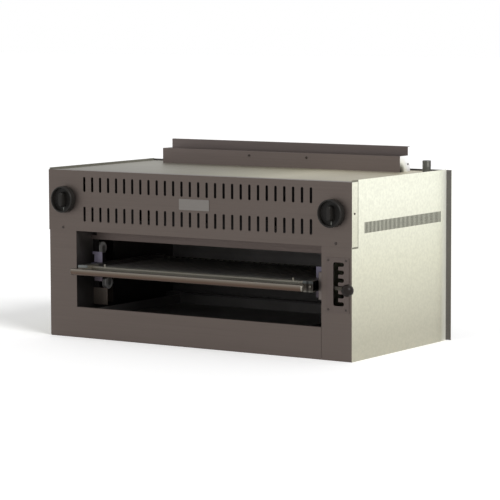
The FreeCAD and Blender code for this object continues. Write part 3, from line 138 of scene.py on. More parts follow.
def rod_profile(radius, length, edge):
    """A rod from pole to pole, with its two rims rounded by quarter circles."""
    return np.concatenate([[[0, 0]], quarter(radius - edge, edge, edge, -90, 0),
                           quarter(radius - edge, length - edge, edge, 0, 90), [[0, length]]])


def swept(path, radius, sides):
    """A tube along a path: each ring is path + radius * (cos turn * n + sin turn * b).

    n and b are at right angles to the path's direction, taken from its neighbours' difference.
    The first is the cross product with a fixed direction that the path never runs along.
    """
    path = np.asarray(path, float)
    along = np.gradient(path, axis=0)
    along /= np.linalg.norm(along, axis=1)[:, None]
    normal = np.cross(along, PATH_REFERENCE)
    normal /= np.linalg.norm(normal, axis=1)[:, None]
    other = np.cross(along, normal)
    turn = np.linspace(0, 2 * np.pi, sides, endpoint=False)
    ring = np.cos(turn)[None, :, None] * normal[:, None] + np.sin(turn)[None, :, None] * other[:, None]
    points = path[:, None] + radius * ring
    ends = np.repeat(path[[0, -1], None], sides, axis=1)
    points = np.concatenate([ends[:1], points, ends[1:]])
    return points.reshape(-1, 3), grid_faces(len(points), sides)


print("rod profile:", len(rod_profile(0.01, 0.1, 0.001)), "points")

# %% [markdown]
# The shells of one piece are joined into one mesh. Points that fall on each other, such as the
# poles of a lathe shape, are merged, and the faces are turned to look outwards. Then the piece
# is hung on the moving body that it rides on, if one is named, and takes its material.

# %% From arrays to a piece
WELD_DISTANCE = 1e-7


def piece(name, shells, material, body, stands_for=(), sharp=35):
    """One object from shells of (points, faces), riding on a body of the model if one is named."""
    points, faces, count = [], [], 0
    for shell_points, shell_faces in shells:
        points.append(shell_points)
        faces.append(shell_faces + count)
        count += len(shell_points)
    mesh = bpy.data.meshes.new(name)
    mesh.from_pydata(np.concatenate(points).tolist(), [], np.concatenate(faces).tolist())
    work = bmesh.new()
    work.from_mesh(mesh)
    bmesh.ops.remove_doubles(work, verts=work.verts, dist=WELD_DISTANCE)
    bmesh.ops.recalc_face_normals(work, faces=work.faces)
    work.to_mesh(mesh)
    work.free()
    mesh.polygons.foreach_set("use_smooth", np.ones(len(mesh.polygons), bool))
    mesh.set_sharp_from_angle(angle=math.radians(sharp))
    mesh.materials.append(material)
    made = bpy.data.objects.new(name, mesh)
    bpy.context.scene.collection.objects.link(made)
    if body:
        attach(made, body)
    if stands_for:
        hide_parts(*stands_for)
    print(name, len(mesh.polygons), "faces", "on " + body if body else "")
    return made


def box_of(node):
    """The low and the high corner of a node's box, as arrays."""
    low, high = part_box(node)
    return np.array(low, float), np.array(high, float)


def middle(node):
    """The middle of a node's box and its size, as arrays."""
    low, high = box_of(node)
    return (low + high) / 2, high - low


print("the top panel measures", middle("top_panel")[1].round(4).tolist(), "metres")

# %% [markdown]
# Stainless sheet is bright only where something bright stands before it. In the photograph the
# front faces a dark room, so it reads as a warm brown-grey, while the side faces a bright wall
# and the top a ceiling. A real sheet has one colour and many reflections; here those reflections
# are painted into the tone of each face, chosen by the way the face looks, so that the painted tone
# stays with the piece when the piece is turned or taken elsewhere. A colour is written as it is on a screen.

# %% Colours and plain finishes
def screen(red, green, blue):
    """The linear colour of a screen colour from 0 to 255, by the sRGB curve."""
    value = np.array([red, green, blue]) / 255
    linear = np.where(value <= 0.04045, value / 12.92, ((value + 0.055) / 1.055) ** 2.4)
    return (*linear.tolist(), 1.0)


def shader_of(material):
    """The node that holds the material's colour, roughness and the rest."""
    return material.node_tree.nodes["Principled BSDF"]


def plain(name, colour, metallic, roughness):
    """A material of one colour, metal or not."""
    material = bpy.data.materials.new(name)
    material.use_nodes = True
    shader = shader_of(material)
    shader.inputs["Base Color"].default_value = colour
    shader.inputs["Metallic"].default_value = metallic
    shader.inputs["Roughness"].default_value = roughness
    return material


def connect(material, output, name):
    """Drive one input of the material's shader from another node."""
    material.node_tree.links.new(output, shader_of(material).inputs[name])


FRONT_TONE = screen(97, 88, 83)
print("the front's tone is", [round(v, 3) for v in FRONT_TONE], "in linear light")

# %% [markdown]
# A procedural material is a small chain of nodes. A picture wrapped round each sheet would do
# too, but it has seams and one size, while nodes hold at any distance. These helpers each add
# one link that gives a number: a coordinate, an arithmetic step, a stretched noise or a change
# of range. All read the piece's own coordinates, so nothing slides when the piece moves.

# %% Numbers in a procedural material
def coordinate(material, kind, axis):
    """One coordinate of the place ("Object") or of the outward way ("Normal")."""
    tree = material.node_tree
    place = tree.nodes.new("ShaderNodeTexCoord")
    parts = tree.nodes.new("ShaderNodeSeparateXYZ")
    tree.links.new(place.outputs[kind], parts.inputs["Vector"])
    return parts.outputs[axis]


def worked(material, operation, *values):
    """The result of one arithmetic step; each value is a number or another node's output."""
    tree = material.node_tree
    step = tree.nodes.new("ShaderNodeMath")
    step.operation = operation
    for socket, value in zip(step.inputs, values):
        if isinstance(value, float):
            socket.default_value = value
        else:
            tree.links.new(value, socket)
    return step.outputs[0]


def object_noise(material, stretch, detail=3.0):
    """A noise on the piece's own coordinates, stretched by three factors; gives its value."""
    tree = material.node_tree
    place = tree.nodes.new("ShaderNodeTexCoord")
    mapping = tree.nodes.new("ShaderNodeMapping")
    mapping.inputs["Scale"].default_value = stretch
    noise = tree.nodes.new("ShaderNodeTexNoise")
    noise.inputs["Scale"].default_value = 1.0
    noise.inputs["Detail"].default_value = detail
    tree.links.new(place.outputs["Object"], mapping.inputs["Vector"])
    tree.links.new(mapping.outputs["Vector"], noise.inputs["Vector"])
    return noise.outputs[0]


def ranged(material, value, first, last, low=0.0, high=1.0):
    """A value from first to last brought to low to high, and held there outside."""
    scale = material.node_tree.nodes.new("ShaderNodeMapRange")
    for name, number in (("From Min", first), ("From Max", last), ("To Min", low), ("To Max", high)):
        scale.inputs[name].default_value = number
    material.node_tree.links.new(value, scale.inputs["Value"])
    return scale.outputs["Result"]


print("links that give a number are ready")

# %% [markdown]
# The next helpers turn such numbers into colours: a mix of two, a ramp of several along one
# axis, and two tests that pick the faces that look one way. Giving those faces a material of
# their own would mean changing the model's meshes, and these stay as they are.

# %% Colours in a procedural material
FACING = (0.6, 0.7)
FACE_MARGIN = 0.0005


def mixed(material, factor, first, second, blend="MIX"):
    """One colour from two, each given as a colour or as the output of another node."""
    tree = material.node_tree
    mix = tree.nodes.new("ShaderNodeMix")
    mix.data_type = "RGBA"
    mix.blend_type = blend
    for socket, value in ((mix.inputs[0], factor), (mix.inputs[6], first), (mix.inputs[7], second)):
        if isinstance(value, (tuple, float)):
            socket.default_value = value
        else:
            tree.links.new(value, socket)
    return mix.outputs[2]


def toned(material, value, stops):
    """A colour for a value: stops are (value, colour), and colours between them are blended."""
    tree = material.node_tree
    first, last = stops[0][0], stops[-1][0]
    ramp = tree.nodes.new("ShaderNodeValToRGB")
    elements = ramp.color_ramp.elements
    elements.remove(elements[1])
    for index, (where, colour) in enumerate(stops):
        position = (where - first) / (last - first)
        element = elements.new(position) if index else elements[0]
        element.position = position
        element.color = colour
    tree.links.new(ranged(material, value, first, last), ramp.inputs["Fac"])
    return ramp.outputs["Color"]


def along(material, axis, stops):
    """A colour that changes along one axis: stops are (place in metres, colour)."""
    return toned(material, coordinate(material, "Object", axis), stops)


def facing(material, axis):
    """One where a face looks along an axis, either way, else nought."""
    return ranged(material, worked(material, "ABSOLUTE", coordinate(material, "Normal", axis)), *FACING)


def outer_face(material, axis, place):
    """One where a face looks along an axis and lies farther out than a place, else nought."""
    distance = worked(material, "ABSOLUTE", coordinate(material, "Object", axis))
    outside = ranged(material, distance, place - FACE_MARGIN, place)
    return worked(material, "MULTIPLY", facing(material, axis), outside)


print("links that give a colour are ready")

# %% [markdown]
# A fine grain follows the way a sheet was brushed: a noise stretched along one axis moves the
# roughness and a very shallow relief. A second noise, as large as a hand, mottles the colour.

# %% Brushed metal
ALONG_X = (4, 260, 260)
ALONG_Y = (260, 4, 260)
ALONG_Z = (260, 260, 4)
FINE = (160, 160, 160)
EVEN = (80, 80, 80)
CLOUD = (9, 9, 9)
NOISE_BAND = (0.3, 0.7)
GRAIN_SWING = 0.05
GRAIN_STRENGTH = 0.12
GRAIN_DEPTH = 0.0002
MOTTLE_SHARE = 0.4


def brush(material, roughness, stretch):
    """The grain of a brushed sheet, in its roughness and in a very shallow relief."""
    tree = material.node_tree
    grain = object_noise(material, stretch)
    swing = ranged(material, grain, *NOISE_BAND, roughness - GRAIN_SWING, roughness + GRAIN_SWING)
    connect(material, swing, "Roughness")
    relief = tree.nodes.new("ShaderNodeBump")
    relief.inputs["Strength"].default_value = GRAIN_STRENGTH
    relief.inputs["Distance"].default_value = GRAIN_DEPTH
    tree.links.new(grain, relief.inputs["Height"])
    connect(material, relief.outputs["Normal"], "Normal")


def brushed(name, colour, roughness, stretch, mottle=0.04, metallic=0.9, ramps=()):
    """A brushed finish with a slight mottle, in one colour or in ramps of (axis, stops).

    The first ramp gives the colour. Those after it are multiplied with it.
    """
    material = plain(name, colour, metallic, roughness)
    brush(material, roughness, stretch)
    cloud = ranged(material, object_noise(material, CLOUD, 2.0), *NOISE_BAND, 0.0, mottle)
    ground = colour
    for index, ramp in enumerate(ramps):
        stripe = along(material, *ramp)
        ground = mixed(material, 1.0, ground, stripe, "MULTIPLY") if index else stripe
    dark = tuple(MOTTLE_SHARE * channel for channel in colour[:3]) + (1.0,)
    connect(material, mixed(material, cloud, ground, dark), "Base Color")
    return material


print("brushed metal ready")

# %% [markdown]
# The outer sheets share one recipe with three tones of painted reflection: one for faces that
# look to the front or the back, one for the outside of the two sides, and one for the top. The
# side is painted brightest near its upper edge and darker towards the table, with a fine speckle
# of the rolled metal. A painted lift of light brightens it beside the rear ear, which would shade
# it. Behind the return of the control panel it keeps a thin painted shadow line, where the edge
# of the folded sheet stands on it. The top is painted lighter to the right and to the back.

# %% The outer sheets
# Painted light and reflection: the ramps below set how bright the tops, the sides and the panel's returns
# look, with painted shade on the top towards the front.
TOP_TONES = ((-0.28, screen(127, 124, 114)), (-0.06, screen(133, 129, 114)), (0.1, screen(155, 151, 130)),
             (0.19, screen(180, 175, 154)), (0.32, screen(173, 167, 148)), (0.42, screen(180, 174, 153)))
TOP_SHADE = ((-0.23, screen(221, 221, 221)), (0.08, screen(255, 255, 255)))
TOP_BAND = 0.015
SIDE_TONES = ((0.045, screen(175, 172, 155)), (0.22, screen(212, 211, 191)), (0.39, screen(238, 239, 222)))
SIDE_TOP_TONES = ((-0.28, screen(104, 102, 92)), (0.4, screen(92, 89, 78)))
RETURN_TONES = ((0.30, screen(218, 217, 198)), (0.43, screen(237, 237, 220)))
PANEL_TOP_TONES = ((-0.28, screen(108, 101, 94)), (0.4, screen(112, 105, 98)))
SPECKLE_TONE = screen(120, 118, 106)
SPECKLE_GRAIN = (150, 150, 150)
SPECKLE_BAND = (0.35, 0.65)
SPECKLE_SHARE = 0.13
# Painted shadow: a thin dark line on the side, behind the edge of the control panel's return.
EDGE_SHADOW_TONE = screen(118, 116, 102)
EDGE_SHADOW_WIDTH = 0.0042
EDGE_SHADOW_SOFTNESS = 0.0004
EAR_LIGHT = screen(255, 255, 246)
EAR_SHADE = 0.026
EAR_GAP = 0.004
EAR_SHARE = 0.6
SHEET_ROUGHNESS = 0.48
panel_low, panel_high = box_of("control_panel")
side_high = box_of("side_panel_right")[1]


def side_details(material, side):
    """The painted shadow line behind the panel's return, and the painted lift of light beside the rear ear.
    """
    y, z = (coordinate(material, "Object", axis) for axis in "YZ")
    edge = panel_high[1] + EDGE_SHADOW_WIDTH
    foot = panel_low[2] - EDGE_SHADOW_WIDTH
    before = ranged(material, y, edge, edge + EDGE_SHADOW_SOFTNESS, 1.0, 0.0)
    above = ranged(material, z, foot - EDGE_SHADOW_SOFTNESS, foot)
    side = mixed(material, worked(material, "MULTIPLY", before, above), side, EDGE_SHADOW_TONE)
    lift = ranged(material, y, side_high[1] - EAR_SHADE, side_high[1] - EAR_GAP, 0.0, EAR_SHARE)
    return mixed(material, lift, side, EAR_LIGHT)


def outer_sheet(name, front, stretch=ALONG_X, sides=SIDE_TONES, tops=TOP_TONES, details=False, metallic=0.9):
    """Brushed stainless sheet with a painted reflection tone for each way that a face looks."""
    material = plain(name, front, metallic, SHEET_ROUGHNESS)
    brush(material, SHEET_ROUGHNESS, stretch)
    grain = object_noise(material, SPECKLE_GRAIN, 2.0)
    speckle = ranged(material, grain, *SPECKLE_BAND, 0.0, SPECKLE_SHARE)
    side = mixed(material, speckle, along(material, "Z", sides), SPECKLE_TONE)
    if details:
        side = side_details(material, side)
    colour = mixed(material, outer_face(material, "X", side_high[0]), front, side)
    top = mixed(material, 1.0, along(material, "X", tops), along(material, "Y", TOP_SHADE), "MULTIPLY")
    looks_up = outer_face(material, "Z", side_high[2] - TOP_BAND)
    connect(material, mixed(material, looks_up, colour, top), "Base Color")
    return material


front_steel = outer_sheet("front_steel", FRONT_TONE)
panel_steel = outer_sheet("panel_steel", FRONT_TONE, sides=RETURN_TONES, tops=PANEL_TOP_TONES)
side_steel = outer_sheet("side_steel", screen(118, 116, 106), FINE, tops=SIDE_TOP_TONES, details=True,
                         metallic=0.5)
gate_steel = outer_sheet("gate_steel", screen(94, 85, 81), ALONG_Z)
rear_steel = outer_sheet("rear_steel", screen(102, 99, 98))
badge_steel = outer_sheet("badge_steel", screen(122, 118, 114))
print("six outer sheets made")

# %% [markdown]
# The flue stands above the rest and catches light on its own. Its front plate is painted a shade
# lighter than the panel below it, for that light. Its end plates face the bright wall and are painted
# light, and each one has painted shade that darkens it to its lower front corner, where it stands
# close to the front plate and the top.

# %% The flue's sheets
CORNER_TONES = ((0.004, screen(46, 44, 40)), (0.014, screen(130, 128, 116)), (0.026, screen(250, 250, 240)),
                (0.04, screen(255, 255, 255)))


def corner_shaded(name, corner, stops):
    """A tone with painted shade that changes with the distance from a corner, measured in the side view."""
    material = plain(name, stops[-1][1], 0.9, 0.5)
    tree = material.node_tree
    place = tree.nodes.new("ShaderNodeTexCoord")
    flat = tree.nodes.new("ShaderNodeVectorMath")
    flat.operation = "MULTIPLY"
    flat.inputs[1].default_value = (0, 1, 1)
    gap = tree.nodes.new("ShaderNodeVectorMath")
    gap.operation = "DISTANCE"
    gap.inputs[1].default_value = (0, corner[1], corner[2])
    tree.links.new(place.outputs["Object"], flat.inputs[0])
    tree.links.new(flat.outputs["Vector"], gap.inputs[0])
    connect(material, toned(material, gap.outputs["Value"], stops), "Base Color")
    return material


flue_steel = brushed("flue_steel", screen(116, 106, 102), 0.5, ALONG_X)
flue_back_steel = brushed("flue_back_steel", screen(108, 99, 96), 0.5, ALONG_X)
flue_end_steel = corner_shaded("flue_end_steel", box_of("flue_sides")[0], CORNER_TONES)
print("flue sheets made")

# %% [markdown]
# Inside, the sheets take mid to dark greys. A ramp darkens the rear wall below the rack as painted
# shade, and the liner's sides are darker towards the bottom. Only the outer faces of the liner's
# sides, which the gate and the grilles give a glimpse of, take a light tone. There the place along
# X and the outward way along X have the same sign, so their product is above nought.

# %% The cavity's sheets
# Painted shade on the rear wall below the rack.
REAR_SHADE_TONES = ((0.15, screen(74, 72, 71)), (0.185, screen(116, 113, 112)))
LINER_TONES = ((0.06, screen(50, 48, 47)), (0.19, screen(60, 57, 56)), (0.26, screen(102, 98, 95)))
LINER_OUTSIDE_TONE = screen(186, 186, 168)
LINER_OUTSIDE_BAND = (0.1, 0.2)
HOUSING_TONE = screen(104, 101, 100)
HOUSING_EDGE = (0.0006, 0.0009)
# Painted shade: the guide rails are dark above their foot, which keeps a lighter tone.
GUIDE_FOOT_TOP = 0.1236
GUIDE_SHADE_TONES = ((GUIDE_FOOT_TOP - 0.001, screen(94, 86, 79)), (GUIDE_FOOT_TOP, screen(34, 32, 32)))

rear_wall_sheet = brushed("rear_wall_sheet", screen(116, 113, 112), 0.55, ALONG_X, 0.4, 0.6, (("Z", REAR_SHADE_TONES),))
housing_front = box_of("burner_housing")[0][1]
housing_tones = ((housing_front + HOUSING_EDGE[0], screen(26, 25, 25)),
                 (housing_front + HOUSING_EDGE[1], HOUSING_TONE))
housing_sheet = brushed("housing_sheet", HOUSING_TONE, 0.55, ALONG_X, 0.4, 0.6, (("Y", housing_tones),))
baffle_sheet = brushed("baffle_sheet", screen(96, 86, 82), 0.5, ALONG_X, 0.1)
pan_sheet = brushed("pan_sheet", screen(99, 97, 96), 0.5, ALONG_X, 0.4, 0.7)
guide_steel = brushed("guide_steel", screen(60, 56, 54), 0.45, ALONG_Z, 0.15, 0.9, (("Z", GUIDE_SHADE_TONES),))

liner_sheet = brushed("liner_sheet", screen(70, 66, 64), 0.5, ALONG_Z, 0.3, 0.8, (("Z", LINER_TONES),))
liner_colour = shader_of(liner_sheet).inputs["Base Color"].links[0].from_socket
outwards_product = worked(liner_sheet, "MULTIPLY", coordinate(liner_sheet, "Object", "X"),
                          coordinate(liner_sheet, "Normal", "X"))
outside_share = ranged(liner_sheet, outwards_product, *LINER_OUTSIDE_BAND)
connect(liner_sheet, mixed(liner_sheet, outside_share, liner_colour, LINER_OUTSIDE_TONE), "Base Color")
print("cavity sheets made")

# %% [markdown]
# The carriages are zinc plated, a cool grey beside the warm sheet. Each one has three tones:
# one on the fin in front, painted lighter on the left carriage than on the right and with painted
# shade low down, a painted shade on the arm behind it, and the zinc's own tone on the ears beside
# the rollers.

# %% The carriages
FIN_BACK = -0.1765
# Painted light and shade: the left carriage's fin is lighter than the right one's, the fins are darker low
# down, and the arm behind them is shaded.
FIN_LEFT = screen(119, 114, 129)
FIN_RIGHT = screen(100, 96, 110)
FIN_SHADE = ((0.156, screen(186, 176, 168)), (0.172, screen(255, 255, 255)))
EAR_TONE = screen(150, 148, 146)
ARM_SHADE_TONE = screen(58, 56, 60)
ARM_LOW = 0.147
ARM_HIGH = 0.2115
CHANGE = 0.001
NOUGHT = (0, 0, 0, 1)
ONE = (1, 1, 1, 1)


def carriage_finish(name):
    """Zinc with painted light on the fin in front, painted shade on the arm behind it, and its own tone on
    the ears.
    """
    material = brushed(name, FIN_LEFT, 0.4, ALONG_Z, 0.15, 0.8)
    fin = along(material, "X", ((0.0, FIN_LEFT), (CHANGE, FIN_RIGHT)))
    fin = mixed(material, 1.0, fin, along(material, "Z", FIN_SHADE), "MULTIPLY")
    arm = along(material, "Z", ((ARM_LOW - CHANGE, EAR_TONE), (ARM_LOW, ARM_SHADE_TONE),
                                (ARM_HIGH, ARM_SHADE_TONE), (ARM_HIGH + CHANGE, EAR_TONE)))
    behind = along(material, "Y", ((FIN_BACK, NOUGHT), (FIN_BACK + CHANGE, ONE)))
    connect(material, mixed(material, behind, fin, arm), "Base Color")
    return material


zinc = carriage_finish("zinc")
anchor_zinc = brushed("anchor_zinc", screen(150, 151, 165), 0.4, ALONG_Z, 0.15)
print("zinc finishes made")

# %% [markdown]
# The rack is painted bright where it stands out of the cabinet and in painted shade behind the front.
# Its tube has a painted reflection: warm underneath, where it faces the table, and lighter above.
# The front bar is painted lighter on top. The plates on the rails' ends have painted highlights along
# their top and bottom edges, and a painted shadow beside their bolts.

# %% The rack
# Painted light and shade on the rails: light where they stand out of the cabinet, shaded behind the front.
RAIL_LIGHT = screen(150, 144, 132)
RAIL_EDGE = screen(88, 90, 89)
RAIL_SHADE = screen(104, 100, 97)
WEB_TONES = ((-0.241, RAIL_LIGHT), (-0.2, RAIL_LIGHT), (-0.196, RAIL_SHADE))
FLANGE_TONES = ((-0.236, RAIL_EDGE), (-0.232, RAIL_SHADE))
# Painted highlights along the end plates' top and bottom edges, and a painted shadow beside their bolts.
END_EDGE_HIGHLIGHTS = ((0.1662, screen(112, 109, 102)), (0.1674, screen(84, 79, 73)), (0.1832, screen(88, 83, 77)),
             (0.1844, screen(106, 109, 108)))
END_SHADE = ((0.3365, screen(255, 255, 255)), (0.3385, screen(150, 150, 150)),
             (0.343, screen(150, 150, 150)), (0.3455, screen(240, 240, 240)),
             (0.3525, screen(190, 190, 190)))
# Painted reflection on the handle tube: warm underneath, lighter above.
TUBE_REFLECTION_TONES = ((0.168, screen(80, 64, 54)), (0.1745, screen(86, 70, 60)), (0.1785, screen(100, 89, 79)),
              (0.185, screen(134, 129, 121)))
# Painted light on the front bar's top, and painted shade on it behind the front.
BAR_TOP_LIGHT = ((0.1825, screen(104, 101, 93)), (0.1845, screen(150, 147, 136)))
BAR_SHADE = ((-0.213, screen(255, 255, 255)), (-0.205, screen(110, 110, 110)))

rail_steel = brushed("rail_steel", screen(60, 56, 53), 0.4, ALONG_Y, 0.1)
rail_colour = mixed(rail_steel, facing(rail_steel, "Z"), along(rail_steel, "Y", WEB_TONES),
                    along(rail_steel, "Y", FLANGE_TONES))
connect(rail_steel, rail_colour, "Base Color")
end_steel = brushed("end_steel", screen(88, 83, 77), 0.4, ALONG_X, 0.1, 0.9,
                    (("Z", END_EDGE_HIGHLIGHTS), ("X", END_SHADE)))
tube_steel = brushed("tube_steel", screen(120, 112, 102), 0.3, ALONG_X, 0.08, 0.9, (("Z", TUBE_REFLECTION_TONES),))
bar_steel = brushed("bar_steel", screen(120, 115, 106), 0.35, ALONG_X, 0.1, 0.9,
                    (("Z", BAR_TOP_LIGHT), ("Y", BAR_SHADE)))
rod_steel = brushed("rod_steel", screen(102, 100, 98), 0.55, ALONG_Y, 0.3, 0.5)
bright_steel = brushed("bright_steel", screen(134, 130, 121), 0.35, ALONG_X, 0.05)
bolt_steel = brushed("bolt_steel", screen(104, 101, 94), 0.35, EVEN, 0.05)
print("rack finishes made")

# %% [markdown]
# The small parts have one tone each. Knobs and ball are black phenolic: a dark plastic with a
# broad, soft shine, which a low specular level keeps quiet.

# %% The small parts
KNOB_SPECULAR = 0.17
BALL_SPECULAR = 0.16
CAST_GRAIN = (300, 300, 300)
PIPE_GRAIN = (60, 60, 60)
PIPE_BANDS = (60, 60, 400)

bracket_steel = brushed("bracket_steel", screen(112, 104, 100), 0.45, ALONG_Z, 0.1)
lever_steel = brushed("lever_steel", screen(92, 88, 80), 0.4, ALONG_Z, 0.1)
roller_steel = brushed("roller_steel", screen(184, 182, 180), 0.45, ALONG_Z, 0.1, 0.3)
# Painted shade: the rack's rollers, inside the rails, take a darker copy of the roller finish.
shaded_roller = brushed("shaded_roller", screen(120, 118, 116), 0.45, ALONG_Z, 0.1, 0.3)
stud_steel = brushed("stud_steel", screen(90, 88, 86), 0.4, ALONG_Z, 0.1)
spring_steel = plain("spring_steel", screen(96, 96, 100), 0.9, 0.35)
screw_steel = plain("screw_steel", screen(70, 64, 61), 0.9, 0.4)
pointer_paint = plain("pointer_paint", screen(116, 118, 112), 0.0, 0.5)
pipe_black = brushed("pipe_black", screen(62, 60, 58), 0.5, PIPE_GRAIN, 0.15, 0.5)
pipe_end = brushed("pipe_end", screen(100, 100, 96), 0.42, PIPE_BANDS, 0.1)
brass = brushed("brass", screen(150, 122, 74), 0.35, EVEN, 0.1)
# Painted shade: the supply tubes are dark, as the shade behind the vent slots.
tube_dark = brushed("tube_dark", screen(40, 38, 36), 0.4, EVEN, 0.1)
casting = brushed("casting", screen(120, 122, 126), 0.6, CAST_GRAIN, 0.08, 0.7)
burner_steel = brushed("burner_steel", screen(86, 80, 75), 0.5, ALONG_Y, 0.15)
phenolic = plain("phenolic", screen(32, 30, 28), 0.0, 0.42)
shader_of(phenolic).inputs["Specular IOR Level"].default_value = KNOB_SPECULAR
ball_phenolic = plain("ball_phenolic", screen(26, 20, 17), 0.0, 0.34)
shader_of(ball_phenolic).inputs["Specular IOR Level"].default_value = BALL_SPECULAR
print("finishes of the small parts made")

# %% [markdown]
# The burners glow through perforated ceramic tiles. A few thousand real holes would swamp the
# mesh, and they are a millimetre wide, so a material paints them as dark dots, the painted shade
# inside each hole: the product of two sines makes a square field of dots on the tile's own coordinates.

# %% The perforated tiles
HOLE_PITCH = 0.0032
HOLE_BAND = (0.55, 0.75)


def perforated(name, colour, hole_colour, pitch):
    """Dots where the size of sin(pi x / pitch) * sin(pi y / pitch) is high."""
    material = plain(name, colour, 0.0, 0.9)
    waves = []
    for axis in ("X", "Y"):
        angle = worked(material, "MULTIPLY", coordinate(material, "Object", axis), math.pi / pitch)
        waves.append(worked(material, "SINE", angle))
    height = worked(material, "ABSOLUTE", worked(material, "MULTIPLY", *waves))
    hole = ranged(material, height, *HOLE_BAND)
    connect(material, mixed(material, hole, colour, hole_colour), "Base Color")
    return material


ceramic = perforated("ceramic", screen(206, 196, 178), screen(70, 60, 52), HOLE_PITCH)
print("holes every", HOLE_PITCH * 1000, "mm")

# %% [markdown]
# Each node of the model gets the finish that its own sheet or casting has. A table of finishes
# against node names is shorter than one line for each, and what it misses is counted.

# %% Dress the model's own nodes
finishes = {
    front_steel: ("front_frame", "right_stile", "top_panel", "base_panel"),
    panel_steel: ("control_panel",),
    side_steel: ("side_panel_left", "side_panel_right"),
    rear_steel: ("rear_panel",),
    badge_steel: ("badge_plate",),
    gate_steel: ("gate_plate",),
    flue_steel: ("flue_front",),
    flue_back_steel: ("flue_back",),
    flue_end_steel: ("flue_sides",),
    rear_wall_sheet: ("cavity_rear",),
    housing_sheet: ("burner_housing",),
    liner_sheet: ("cavity_side_left", "cavity_side_right"),
    baffle_sheet: ("header_baffle",),
    pan_sheet: ("drip_pan",),
    zinc: ("carriage_left", "carriage_right"),
    anchor_zinc: ("spring_anchors",),
    guide_steel: ("guide_rail_left", "guide_rail_right"),
    bar_steel: ("rack_cross_bars",),
    rail_steel: ("rack_rail_left", "rack_rail_right"),
    lever_steel: ("latch_lever", "lever_pivot", "cross_shaft"),
    bright_steel: ("valve_stem_left", "valve_stem_right", "tube_plugs"),
    stud_steel: ("roller_studs",),
    pipe_black: ("manifold_pipe",),
    pipe_end: ("gas_inlet_pipe",),
    brass: ("gas_valve_left", "gas_valve_right"),
    tube_dark: ("burner_supply_tubes",),
    casting: ("pressure_regulator",),
    burner_steel: ("burner_left", "burner_right", "pilot_burners"),
    ceramic: ("ceramic_tiles",),
}
dressed = set()
for material, names in finishes.items():
    for name in names:
        nodes[name].data.materials.clear()
        nodes[name].data.materials.append(material)
        dressed.add(name)
print(len(dressed), "nodes dressed; left to new pieces:", sorted(set(nodes) - dressed))

# %% [markdown]
# The grip of a knob and the small plates further on are stacks of rings. Each ring is a
# superellipse, which is a rectangle with soft corners, and a higher power sharpens them. A cube
# with a Bevel modifier comes close, but here the outline may change from ring to ring.

# %% Stacked rings
def stacked_rings(half_widths, half_lengths, heights, power=4.0, count=64):
    """Rings in planes one before the other, towards the viewer of the front.

    A ring's point is half_width * sign(cos t) |cos t|^(2/p) and half_length * sign(sin t) |sin t|^(2/p).
    """
    turn = np.linspace(0, 2 * np.pi, count, endpoint=False)
    across = np.sign(np.cos(turn)) * np.abs(np.cos(turn)) ** (2 / power)
    tall = np.sign(np.sin(turn)) * np.abs(np.sin(turn)) ** (2 / power)
    rings = np.stack([np.outer(half_widths, across), -np.outer(heights, np.ones(count)),
                      np.outer(half_lengths, tall)], axis=-1)
    return rings.reshape(-1, 3), grid_faces(len(heights), count)


print("three rings make", len(stacked_rings(np.ones(3), np.ones(3), np.arange(3.0))[1]), "faces")

# %% [markdown]
# The knob is one moulding: a deep drum with a rolled edge, a deep dish in its face, and a grip
# bar that crosses the dish from top to bottom. A dish cut from a cylinder would have hard edges,
# so the drum is turned from a profile in which each edge has its own radius. The grip is a stack
# of rings that shrink towards its crest. A painted line on the dish's floor shows where it points.

# %% The control knobs
DRUM_SHARE = 18 / 22
DRUM_ROLL = 0.0032
BACK_EDGE = 0.001
RIM_WIDTH = 0.003
DISH_SLOPE = 0.0015
DISH_DEPTH = 0.012
LIP = 0.0012
GRIP_RISE = np.array([-0.03, 0.0, 0.3, 0.6, 0.78, 0.9, 0.97, 1.0, 1.0])
GRIP_HALF_WIDTH = np.array([0.0, 0.0088, 0.0076, 0.0064, 0.0057, 0.0051, 0.0044, 0.003, 0.0])
GRIP_HALF_LENGTH = np.array([0.0, 0.0192, 0.0186, 0.018, 0.0175, 0.0169, 0.0161, 0.0146, 0.0])
POINTER_HALF_WIDTH = 0.0014
POINTER_HALF_LENGTH = 0.0046
POINTER_HALF_RISE = 0.0004
POINTER_DROP = 0.0243


def knob_shells(node):
    """The drum and the grip of one knob, fitted to the node's box."""
    centre, size = middle(node)
    radius = size[0] / 2
    back = centre[1] + size[1] / 2
    drum = DRUM_SHARE * size[1]
    slope_turn = 180 - math.degrees(math.atan2(DISH_SLOPE, DISH_DEPTH))
    dish_radius = radius - RIM_WIDTH - DISH_SLOPE
    profile = np.concatenate([
        [[0.0, 0.0], [radius - BACK_EDGE, 0.0], [radius, BACK_EDGE]],
        quarter(radius - DRUM_ROLL, drum - DRUM_ROLL, DRUM_ROLL, 0, 90, 9),
        quarter(radius - RIM_WIDTH, drum - LIP, LIP, 90, slope_turn, 5),
        quarter(dish_radius - LIP, drum - DISH_DEPTH + LIP, LIP, slope_turn - 180, -90, 4),
        [[0.0, drum - DISH_DEPTH]]])
    disc = turned(profile, (centre[0], back, centre[2]), (0, -1, 0), 96)
    top = size[1] - drum + DISH_DEPTH
    grip_points, grip_faces = stacked_rings(GRIP_HALF_WIDTH, GRIP_HALF_LENGTH, GRIP_RISE * top)
    return [disc, (grip_points + (centre[0], back - drum + DISH_DEPTH, centre[2]), grip_faces)]


